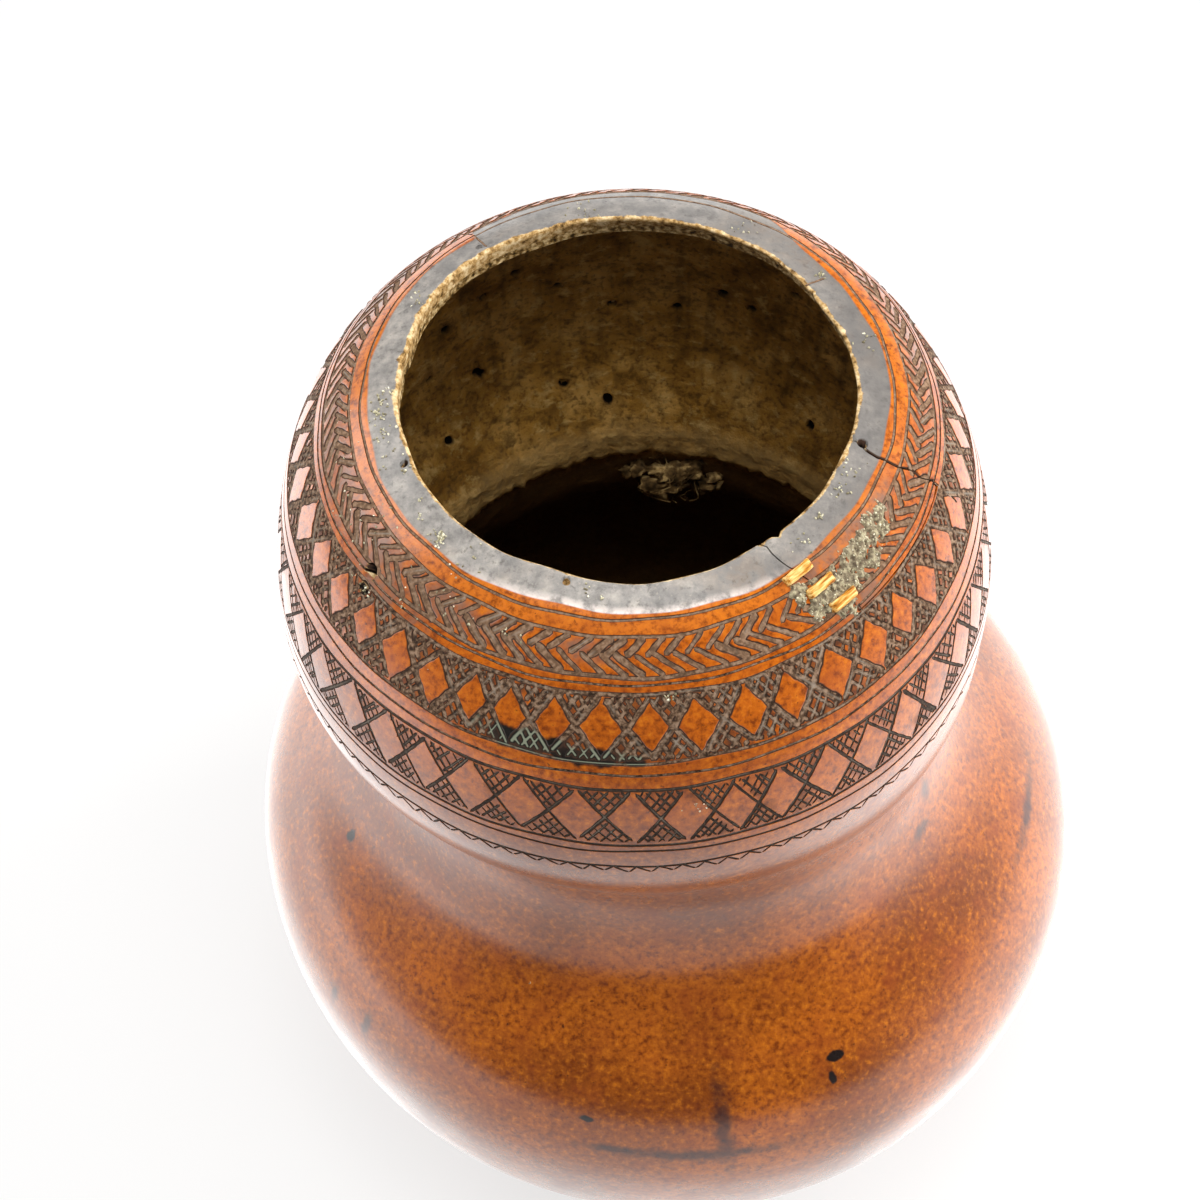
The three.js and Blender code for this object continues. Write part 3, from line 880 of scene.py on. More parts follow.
# Ledge over the waist: how it wavers, rises in two steps and ends, in millimetres from its depth
LEDGE_DEPTH = 83.0
LEDGE_HIGH = 2.4
LEDGE_WAVER = (0.6, 0.8)
LEDGE_RISES = ((0.35, -11.0, -6.0), (0.65, -5.4, -4.0))
LEDGE_UNDER = (1.5, 4.0)
LEDGE_CRACK = 97.0
LEDGE_CRACK_WIDE = 0.012
LEDGE_CRACK_WAVER = 0.01
LEDGE_CRACK_DEEP = 0.8
LEDGE_UNEVEN = 0.3
# Painted shade below the ledge: where it starts past the ledge and how long it takes to darken
LEDGE_SHADE = 2.0
LEDGE_SHADE_FADE = 5.0
# Noise of the corky face: lumps per millimetre along and down, and a seed; then their heights
CORK_NOISE = ((0.09, 0.12, 3.0), (0.3, 0.45, 9.0), (0.8, 0.8, 5.0), (0.35, 0.03, 7.0))
CORK_HEIGHTS = (0.5, 0.45, 0.25, 0.35)
FLAKE_LOWEST = -0.2
CORK_START = 4.0


def cork_bumps(points):
    """Height of the corky inner face: scraped flakes, and the rolled ledge over the waist"""
    along, down = points.T
    broad, flakes, fine, streaks = (rough_at(points, *kind) for kind in CORK_NOISE)
    below = down - (down_at_depth(LEDGE_DEPTH, LINING_IN) + LEDGE_WAVER[0] * flakes + LEDGE_WAVER[1] * fine)
    ledge = sum(share * ease(below, start, end) for share, start, end in LEDGE_RISES)
    ledge *= 1 - ease(below, *LEDGE_UNDER)
    off_crack = along / FLAT_R - math.radians(LEDGE_CRACK) - LEDGE_CRACK_WAVER * flakes
    split = np.exp(-(off_crack / LEDGE_CRACK_WIDE) ** 2)
    layers = (broad, np.maximum(flakes, FLAKE_LOWEST), fine, abs(streaks))
    rough = sum(height * layer for height, layer in zip(CORK_HEIGHTS, layers))
    rolled = LEDGE_HIGH * ledge * (1 - LEDGE_CRACK_DEEP * split + LEDGE_UNEVEN * flakes)
    return ease(down, 0, CORK_START) * rough + rolled


def lining_back(down):
    """Where the lining's outer face lies: against the rind at the lip, a gap away further down"""
    return (LINING_OUT - RIND - LIP_MEET) * (1 - ease(down, 0, LIP_MEET_END)) - LINING_OUT


def lining(material):
    """The corky layer: a fine inner face with worm holes, a coarse outer one, plain in the lower bulb"""
    holes = [(angle, down_at_depth(depth, LINING_IN), WORM_HOLE_R, WORM_HOLE_DEEP)
             for angle, depth in WORM_HOLES]
    drawing = Drawing()
    drawing.frame(LINING_FINE_END, LINING_FRAME_STEP)
    drawing.dots(spread(LINING_FINE_END, LINING_STEP))
    draw_holes(drawing, holes)
    points, triangles = drawing.triangles(LINING_FINE_END)
    along, down = points.T
    pits = hole_relief(points, holes)
    bumps = cork_bumps(points)
    skin = Skin()
    inner = place(along, down, -LINING_IN + pits - bumps)
    marks = np.zeros((len(points), 3))
    # Painted shade: the worm holes' floors are marked to turn black
    marks[:, 0] = np.clip(PIT_DARK * pits, 0, 1)
    marks[:, 1] = np.clip(bumps / LEDGE_HIGH, 0, 1)
    skin.add(inner, triangles, wrap_of(along, down), point_normals(inner, triangles), marks)
    outer = place(along, down, lining_back(down))
    add_walls(skin, rim_edges(triangles, points, LINING_FINE_END)[:, ::-1], points, inner, outer)
    coarse = Drawing()
    coarse.frame(LINING_FINE_END, LINING_FRAME_STEP)
    coarse.dots(spread(LINING_FINE_END, BACK_STEP))
    back_points, back_triangles = coarse.triangles(LINING_FINE_END)
    bx, by = back_points.T
    back = lining_back(by)
    skin.add(place(bx, by, back), back_triangles[:, ::-1], wrap_of(bx, by), outward(bx, by, back))
    levels = np.linspace(LINING_FINE_END, LENGTH, LINING_ROWS)
    add_turned(skin, levels, -LINING_IN, inside=True)
    add_turned(skin, levels, -LINING_OUT)
    return skin.object("cork_lining", material)


# Nodes
def linear(text):
    """Linear colour of an sRGB hex value"""
    parts = [int(text[k:k + 2], 16) / 255 for k in (1, 3, 5)]
    return (*(c / 12.92 if c <= 0.04045 else ((c + 0.055) / 1.055) ** 2.4 for c in parts), 1.0)


def node(tree, kind, inputs=None, out=0, stops=(), **settings):
    """Adds a node and gives an output; inputs are values, hex colours or sockets, stops colour a ramp"""
    made = tree.nodes.new(kind)
    for name, value in settings.items():
        setattr(made, name, value)
    for name, value in (inputs or {}).items():
        socket = made.inputs[name]
        if isinstance(value, bpy.types.NodeSocket):
            tree.links.new(value, socket)
        else:
            socket.default_value = linear(value) if isinstance(value, str) else value
    for k, (at, colour) in enumerate(stops):
        stop = made.color_ramp.elements[k] if k < 2 else made.color_ramp.elements.new(at)
        stop.position = at
        stop.color = linear(colour)
    return made.outputs[out] if made.outputs else made


def per_mm(size):
    """Scale of a pattern whose lumps are about a size in millimetres"""
    return 1 / (size * MM)


def lines_only(name, points, edges):
    """An object of points, or of points and lines, for a node tree to grow from"""
    mesh = bpy.data.meshes.new(name)
    mesh.from_pydata([list(p) for p in points], edges, [])
    return linked(name, mesh)


def grown_from(piece, build, material, **sizes):
    """Runs a piece's points or lines through a node tree with named inputs and keeps the result"""
    tree = bpy.data.node_groups.new(piece.name, "GeometryNodeTree")
    tree.interface.new_socket("Geometry", in_out="INPUT", socket_type="NodeSocketGeometry")
    tree.interface.new_socket("Geometry", in_out="OUTPUT", socket_type="NodeSocketGeometry")
    for name, size in sizes.items():
        kind = "NodeSocketVector" if isinstance(size, tuple) else "NodeSocketFloat"
        tree.interface.new_socket(name, in_out="INPUT", socket_type=kind)
    given = node(tree, "NodeGroupInput").node.outputs
    made = node(tree, "GeometryNodeRealizeInstances", {"Geometry": build(tree, given)})
    made = node(tree, "GeometryNodeSetMaterial", {"Geometry": made, "Material": material})
    node(tree, "NodeGroupOutput", {"Geometry": made})
    modifier = piece.modifiers.new(piece.name, "NODES")
    modifier.node_group = tree
    for item in tree.interface.items_tree:
        if item.name in sizes:
            modifier[item.identifier] = sizes[item.name]
    evaluated = piece.evaluated_get(bpy.context.evaluated_depsgraph_get())
    mesh = bpy.data.meshes.new_from_object(evaluated)
    piece.modifiers.remove(modifier)
    piece.data = mesh
    return piece


# Crumbs of gum and lime on the rim: angle, length down, how many, and how far they spread
CRUMBS = ((-178.0, 3.0, 26, 1.5), (-173.0, 4.4, 22, 1.3), (-167.0, 3.4, 16, 1.8), (-160.0, 4.0, 10, 2.0),
          (-155.0, 2.8, 5, 0.5), (-146.2, 2.8, 4, 0.4), (-142.6, 4.6, 6, 0.7), (-135.6, 4.9, 46, 1.2),
          (-127.2, 3.0, 4, 1.2), (-134.4, 18.9, 6, 0.6), (-120.7, 14.6, 4, 0.6), (-113.0, 13.5, 8, 1.6),
          (-99.0, 3.2, 6, 1.4), (-95.6, 3.6, 5, 0.25), (-142.6, 22.0, 8, 0.9), (-83.4, 21.6, 9, 0.6),
          (-80.8, 44.0, 10, 0.9), (-39.8, 3.0, 16, 0.5), (-31.0, 3.6, 14, 1.6), (-24.0, 3.9, 12, 1.8),
          (-48.0, 4.4, 9, 1.6), (37.2, 5.0, 18, 0.6), (-113.9, 131.0, 4, 0.8), (60.0, 4.0, 10, 2.0),
          (100.0, 4.0, 14, 2.5), (150.0, 3.6, 14, 2.2), (15.0, 3.8, 12, 2.2), (-152.0, 13.0, 26, 8.0),
          (-128.0, 13.0, 20, 7.0), (-172.0, 12.0, 14, 6.0))
CRUMB_R = 0.3
CRUMB_DOWN = 0.7
CRUMB_TURN = (6.3, 6.3, 6.3)
CRUMB_SMALL = (0.35, 0.35, 0.3)
CRUMB_LARGE = (1.3, 1.2, 0.9)
TURN_SEED = 3
SIZE_SEED = 5
LIP_CRUMBS = 900
LIP_CRUMB_R = 0.27
LIP_CRUMB_IN = (1.2, LINING_IN)
LIP_CRUMB_DOWN = (0.1, 0.5)


def crumbs(tree, given):
    """An angular crumb on every point, turned and sized by chance"""
    add = partial(node, tree)
    crumb = add("GeometryNodeMeshIcoSphere", {"Radius": given["Radius"], "Subdivisions": 1})
    turn = add("FunctionNodeRandomValue", {"Max": CRUMB_TURN, "Seed": TURN_SEED}, data_type="FLOAT_VECTOR")
    size = add("FunctionNodeRandomValue", {"Min": CRUMB_SMALL, "Max": CRUMB_LARGE, "Seed": SIZE_SEED},
               data_type="FLOAT_VECTOR")
    put = {"Points": given["Geometry"], "Instance": crumb, "Rotation": turn, "Scale": size}
    return add("GeometryNodeInstanceOnPoints", put)


def rim_crumbs():
    """Points on the rind where crumbs stick"""
    angle, down, count, wide = np.array(CRUMBS).T
    many = np.repeat(np.arange(len(count)), count.astype(int))
    along = np.radians(angle[many]) * FLAT_R + rng.normal(0, 1, len(many)) * wide[many]
    down = np.maximum(down[many] + rng.normal(0, CRUMB_DOWN, len(many)) * wide[many], LIP_ROUND)
    return lines_only("rim_crumbs", place(along, down, np.full(len(many), -RIM_SINK / 2)), [])


def lip_crumbs():
    """Points on the cut edge of the wall, where its cork crumbles"""
    along = rng.uniform(LEFT_END, RIGHT_END, LIP_CRUMBS)
    inward = -rng.uniform(*LIP_CRUMB_IN, LIP_CRUMBS)
    return lines_only("lip_crumbs", place(along, rng.uniform(*LIP_CRUMB_DOWN, LIP_CRUMBS), inward), [])


# Cane stitches over the crack
GAP = 0.3
STITCH_COUNT = 3
STITCH_FIRST = 1.0
STITCH_PITCH = 3.5
STITCH_SPAN = 5.6
STITCH_WIDE = 2.0
STITCH_THICK = 0.9
STITCH_EDGE = 0.3
STITCH_ROUGH = 0.35
STITCH_LUMP = 1.4
STITCH_FOOT = 1.5
STITCH_BEND = 0.6
STITCH_STEP = 0.5
STITCH_SIDES = 28
FOOT_GAP = 0.6
STITCH_WAY = math.radians(44)


def split_strip(tree, given):
    """A flat strip with rounded edges along a line, uneven as split cane is"""
    add = partial(node, tree)
    line = add("GeometryNodeMeshToCurve", {"Mesh": given["Geometry"]})
    line = add("GeometryNodeSetCurveNormal", {"Curve": line, "Normal": given["Across"]}, mode="FREE")
    section = add("GeometryNodeCurvePrimitiveQuadrilateral",
                  {"Width": given["Width"], "Height": given["Thickness"]})
    section = add("GeometryNodeFilletCurve", {"Curve": section, "Count": 3, "Radius": given["Edge"]},
                  mode="POLY")
    section = add("GeometryNodeResampleCurve", {"Curve": section, "Count": STITCH_SIDES})
    strip = add("GeometryNodeCurveToMesh", {"Curve": line, "Profile Curve": section, "Fill Caps": True})
    rough = add("ShaderNodeTexNoise", {"Scale": per_mm(STITCH_LUMP), "Detail": 2.0}, out="Color")
    shift = add("ShaderNodeVectorMath", {0: rough, 1: (0.5, 0.5, 0.5)}, operation="SUBTRACT")
    shift = add("ShaderNodeVectorMath", {0: shift, "Scale": given["Roughness"]}, operation="SCALE")
    strip = add("GeometryNodeSetPosition", {"Geometry": strip, "Offset": shift})
    return add("GeometryNodeSetShadeSmooth", {"Geometry": strip})


def surface_frame(along, down, heading):
    """Centre in millimetres, heading along the rind, outward normal and sideways direction at a place"""
    spot = (np.array([along]), np.array([down]), np.zeros(1))
    out = outward(*spot)[0]
    way = np.array([math.cos(heading), math.sin(heading), 0.0])
    way -= out * way.dot(out)
    way /= np.linalg.norm(way)
    return place(*spot)[0] / MM, way, out, np.cross(way, out)


def rounded_path(corners, radius, steps=5):
    """The corners joined by straight runs, with every inner corner rounded, in short steps"""
    corners = [np.array(c, float) for c in corners]
    path = [corners[0]]
    for before, corner, after in zip(corners, corners[1:], corners[2:]):
        start = corner + (before - corner) / np.linalg.norm(before - corner) * radius
        end = corner + (after - corner) / np.linalg.norm(after - corner) * radius
        for t in np.linspace(0, 1, steps):
            path.append((1 - t) ** 2 * start + 2 * t * (1 - t) * corner + t * t * end)
    path.append(corners[-1])
    fine = [path[0]]
    for a, b in zip(path, path[1:]):
        count = max(1, round(np.linalg.norm(b - a) / STITCH_STEP))
        fine.extend(a + (b - a) * (k + 1) / count for k in range(count))
    return np.array(fine)


def cane_strip(k, material):
    """A split strip: out of one slot, flat over the crack, into the other slot, both ends turned in"""
    radius = RIM_R + STITCH_FIRST + k * STITCH_PITCH
    along = float(crack_angle(STITCHED_CRACK, radius)) * FLAT_R
    centre, way, out, across = surface_frame(along, float(down_at_radius(radius)), STITCH_WAY)
    half = STITCH_SPAN / 2
    sole = -(LINING_IN + FOOT_GAP + STITCH_THICK / 2)
    top = GAP + STITCH_THICK / 2
    corners = [(-half + STITCH_FOOT, sole), (-half, sole), (-half, top),
               (half, top), (half, sole), (half - STITCH_FOOT, sole)]
    path = rounded_path(corners, STITCH_BEND)
    points = (centre + way * path[:, :1] + out * path[:, 1:]) * MM
    line = lines_only(f"cane_strip_{k + 1}", points, [(i, i + 1) for i in range(len(points) - 1)])
    return grown_from(line, split_strip, material, Across=tuple(across), Width=STITCH_WIDE * MM,
                      Thickness=STITCH_THICK * MM, Edge=STITCH_EDGE * MM, Roughness=STITCH_ROUGH * MM)


# Gum smeared over the repair: angle, length down and radius of the lumps that make its shape
GUM_LUMPS = ((-29.6, 11.4, 2.4), (-33.0, 11.9, 3.2), (-37.5, 11.9, 2.4), (-41.0, 13.2, 3.2),
             (-45.0, 14.5, 3.2), (-48.6, 15.3, 2.8), (-50.8, 13.2, 2.6), (-54.3, 11.6, 2.2),
             (-46.8, 18.0, 2.4), (-52.3, 15.5, 2.2), (-37.0, 15.2, 2.0))
GUM_SPAN = ((-59.0, -24.0), (7.0, 22.0))
GUM_GRID = (124, 56)
GUM_THICK = 0.6
GUM_UNDER = -0.6
GUM_SUNK = 0.1
GUM_NOISE = (0.6, 0.6, 1.0)
GUM_FINE_NOISE = (1.5, 1.5, 5.0)
GUM_FINE = 0.6
GUM_ROUGH = 1.3
GUM_GRAIN = 0.2
GUM_GRAIN_R = 0.22


def gum_height(along, down):
    """Height of the gum over the rind: highest in its lumps, broken up by its grain, sunk outside"""
    cover = np.full(along.shape, -1.0)
    for angle, level, radius in GUM_LUMPS:
        away = np.hypot((along - math.radians(angle) * FLAT_R) * stretch_at(level), down - level)
        cover = np.maximum(cover, 1 - (away / radius) ** 2)
    spots = np.stack([along, down], axis=-1)
    rough = rough_at(spots, *GUM_NOISE) + GUM_FINE * rough_at(spots, *GUM_FINE_NOISE)
    return np.clip(GUM_THICK * (cover + GUM_ROUGH * rough) - GUM_SUNK, GUM_UNDER / 2, GUM_THICK)


def gum_patch(material):
    """The smear, and the places of its loose grains"""
    columns, rows = GUM_GRID
    along = np.radians(np.linspace(*GUM_SPAN[0], columns)) * FLAT_R
    along, down = (grid.ravel() for grid in np.meshgrid(along, np.linspace(*GUM_SPAN[1], rows)))
    height = gum_height(along, down)
    faces = grid_triangles(rows, columns)
    faces = faces[height[faces].max(axis=1) > 0]
    spots = np.stack([along, down], axis=-1)
    top = place(along, down, height)
    back = place(along, down, np.full(along.shape, GUM_UNDER))
    wrap = wrap_of(along, down)
    skin = Skin()
    skin.add(top, faces, wrap, point_normals(top, faces))
    skin.add(back, faces[:, ::-1], wrap)
    add_walls(skin, rim_edges(faces[:, ::-1], spots, ENGRAVED_END), spots, top, back)
    grains = top[np.flatnonzero((height > -GUM_SUNK) & (rng.random(len(height)) < GUM_GRAIN))]
    return skin.object("gum_smear", material), lines_only("gum_grains", grains, [])


# Dry pulp under the ledge: places of its lumps in shares of its size, and their radius
TUFT_ANGLE = 85.0
TUFT_DEPTH = MOUTH_Z - WAIST_Z + 8.5
TUFT_SIZE = (26.0, 18.0, 12.0)
LUMPS = ((-0.42, 0.2, 0.75, 1.5), (-0.28, 0.3, 0.6, 1.9), (-0.1, 0.35, 0.55, 1.7), (0.06, 0.45, 0.5, 2.1),
         (0.18, 0.5, 0.1, 2.3), (0.32, 0.5, -0.1, 2.2), (0.46, 0.45, 0.0, 1.7), (0.26, 0.3, 0.5, 1.6),
         (0.74, 0.25, 0.5, 1.4), (0.88, 0.2, 0.25, 1.3), (-0.78, 0.25, -0.1, 1.9), (-0.62, 0.2, -0.4, 1.7),
         (-0.86, 0.15, 0.2, 1.3))
LUMP_FLAT = (1.8, 1.3, 0.85)
LUMP_SIZES = (0.8, 1.2)
DENT = 0.9
DENT_RATE = 1.9
DENT_SHIFT = 7.0
FIBRES = 24
FIBRE_STEPS = 8
FIBRE_R = 0.14
FIBRE_SIDES = 5
FIBRE_MIDDLE = (0, 0.3, 0.2)
FIBRE_SPREAD = 0.35
FIBRE_STEP = (0.07, 0.09, 0.1)
FIBRE_DROOP = (0, 0, -0.04)
FIBRE_BEND = (0.04, 0.05, 0.06)
FIBRE_REACH = 0.97


def strands(tree, given):
    """A thin tube along every line"""
    add = partial(node, tree)
    lines = add("GeometryNodeMeshToCurve", {"Mesh": given["Geometry"]})
    section = add("GeometryNodeCurvePrimitiveCircle",
                  {"Resolution": FIBRE_SIDES, "Radius": given["Radius"]})
    return add("GeometryNodeCurveToMesh", {"Curve": lines, "Profile Curve": section, "Fill Caps": True})


def tuft_point(side, inward, up):
    """A point of the tuft in metres: sideways, away from the wall and up"""
    wide, deep, high = TUFT_SIZE
    along = np.radians(TUFT_ANGLE) * FLAT_R + np.asarray(side) * wide / 2 * FLAT_R / WAIST_R
    down = down_at_depth(TUFT_DEPTH, LINING_IN) - np.asarray(up) * high / 2
    return place(along, down, -LINING_IN - np.asarray(inward) * deep / 2)


def ball(count=16):
    """Points and triangles of a plain ball"""
    rows = count // 2
    turn, rise = np.meshgrid(np.arange(count) * 2 * math.pi / count, np.linspace(0, math.pi, rows + 1))
    points = np.stack([np.sin(rise) * np.cos(turn), np.sin(rise) * np.sin(turn), np.cos(rise)], axis=-1)
    first = (np.arange(rows)[:, None] * count + np.arange(count)[None, :]).ravel()
    following = (np.arange(rows)[:, None] * count + (np.arange(count) + 1)[None, :] % count).ravel()
    faces = np.concatenate([np.stack([first, first + count, following], axis=1),
                            np.stack([following, first + count, following + count], axis=1)])
    return points.reshape(-1, 3), faces


def pulp_lumps(material):
    """Shrunken lumps of pulp, each a ball crumpled by noise"""
    skin = Skin()
    shape, faces = ball()
    for k, (side, inward, up, radius) in enumerate(LUMPS):
        size = radius * np.array(LUMP_FLAT) * rng.uniform(*LUMP_SIZES, 3)
        shift = Vector((DENT_SHIFT * k, 0, 0))
        dents = [1 + DENT * noise.noise(Vector(p * DENT_RATE) + shift) for p in shape]
        points = tuft_point(side, inward, up) + shape * size * np.array(dents)[:, None] * MM
        skin.add(points, faces, np.zeros((len(points), 2)), point_normals(points, faces))
    return skin.object("pulp_lumps", material)


def fibre_lines():
    """Lines that wander through the tuft"""
    points, edges = [], []
    for _ in range(FIBRES):
        spot = rng.normal(0, FIBRE_SPREAD, 3) + FIBRE_MIDDLE
        step = rng.normal(0, 1, 3) * FIBRE_STEP + FIBRE_DROOP
        for k in range(FIBRE_STEPS):
            if k:
                edges.append((len(points) - 1, len(points)))
            spot = spot + step
            spot = spot / max(1, np.linalg.norm(spot) / FIBRE_REACH)
            spot[1] = abs(spot[1])
            step = step + rng.normal(0, 1, 3) * FIBRE_BEND
            points.append(tuft_point(*spot))
    return lines_only("pulp_fibres", points, edges)


# Marks on the rind: angle, depth below the mouth and half sizes across and down
SPOTS = ((-156.8, 117.0, 1.6, 2.0), (-65.6, 127.0, 1.8, 1.3), (-67.0, 130.5, 0.9, 1.5),
         (-101.5, 135.0, 1.6, 1.0), (75.0, 112.0, 1.5, 1.6), (160.0, 128.0, 1.7, 1.3),
         (-40.0, 78.0, 2.0, 1.2))
STREAKS = ((-83.0, 136.0, 2.3, 13.0), (-87.6, 142.5, 21.0, 1.8), (-97.0, 142.0, 9.0, 1.3),
           (-12.5, 127.0, 13.0, 1.5), (-26.0, 97.5, 2.2, 4.0), (-143.0, 142.0, 1.6, 3.6),
           (-136.0, 141.0, 1.4, 5.0), (-32.0, 104.0, 4.0, 1.5), (40.0, 130.0, 2.6, 9.0),
           (112.0, 125.0, 2.0, 12.0), (165.0, 141.0, 14.0, 1.8))
GRIME = ((-150.0, 6.5, 30.0, 4.6), (-172.0, 7.0, 18.0, 4.6), (-140.0, 9.5, 12.0, 3.0),
         (-124.0, 6.4, 13.0, 3.2), (-97.0, 6.0, 6.0, 2.4), (-48.0, 3.4, 8.0, 3.0), (-38.0, 3.6, 9.0, 3.6),
         (-29.0, 3.8, 8.0, 3.2), (-44.0, 9.0, 10.0, 3.6), (20.0, 7.0, 20.0, 4.0), (150.0, 7.0, 18.0, 4.0))
CRUST = ((-107.5, 19.6, 9.0, 2.2), (-97.5, 20.8, 8.0, 1.7), (-90.0, 21.2, 3.0, 1.2))
BLOT_LUMP = 3.0
BLOT_RAGGED = 1.6


def blots(tree, places, hard, soft):
    """1 on ragged ovals of the unrolled gourd, full within a share of their size, gone past another"""
    add = partial(node, tree)
    wrap = add("ShaderNodeUVMap", uv_map="wrap")
    spot = add("ShaderNodeTexCoord", out="Object")
    wobble = add("ShaderNodeTexNoise", {"Vector": spot, "Scale": per_mm(BLOT_LUMP), "Detail": 3.0})
    total = 0.0
    for angle, depth, wide, high in places:
        down = down_at_depth(depth)
        around = 2 * math.pi * float(np.interp(down, ARC, OUT_R))
        middle = (along_at(angle) / TURN, down / WRAP_UNIT, 0)
        offset = add("ShaderNodeVectorMath", {0: wrap, 1: middle}, operation="SUBTRACT")
        scale = (around / wide, WRAP_UNIT / high, 0)
        offset = add("ShaderNodeVectorMath", {0: offset, 1: scale}, operation="MULTIPLY")
        away = add("ShaderNodeVectorMath", {0: offset}, out="Value", operation="LENGTH")
        away = add("ShaderNodeMath", {0: wobble, 1: BLOT_RAGGED, 2: away}, operation="MULTIPLY_ADD")
        fade = {"Value": away, "From Min": soft + BLOT_RAGGED / 2, "From Max": hard + BLOT_RAGGED / 2}
        share = add("ShaderNodeMapRange", fade, interpolation_type="SMOOTHSTEP")
        total = add("ShaderNodeMath", {0: total, 1: share}, operation="MAXIMUM")
    return total


def stained(tree, colour, *stains):
    """A colour under stains laid on in turn: each grows to its share between two values of a pattern"""
    for pattern, bare, full, most, stain in stains:
        grows = {"Value": pattern, "From Min": bare, "From Max": full, "To Max": most}
        share = node(tree, "ShaderNodeMapRange", grows)
        colour = node(tree, "ShaderNodeMix", {0: share, 6: colour, 7: stain}, out=2, data_type="RGBA")
    return colour


# Materials
def new_material(name):
    """An empty material, its tree and its principled shader's inputs"""
    material = bpy.data.materials.new(name)
    material.use_nodes = True
    tree = material.node_tree
    tree.nodes.clear()
    shader = node(tree, "ShaderNodeBsdfPrincipled")
    node(tree, "ShaderNodeOutputMaterial", {"Surface": shader})
    return material, tree, shader.node.inputs


def dress(tree, inputs, colour, roughness, height, deep):
    """Links colour and roughness to a shader, with a bump of a depth in millimetres"""
    bump = node(tree, "ShaderNodeBump", {"Height": height, "Distance": deep * MM})
    for name, value in (("Base Color", colour), ("Roughness", roughness), ("Normal", bump)):
        if isinstance(value, bpy.types.NodeSocket):
            tree.links.new(value, inputs[name])
        else:
            inputs[name].default_value = value


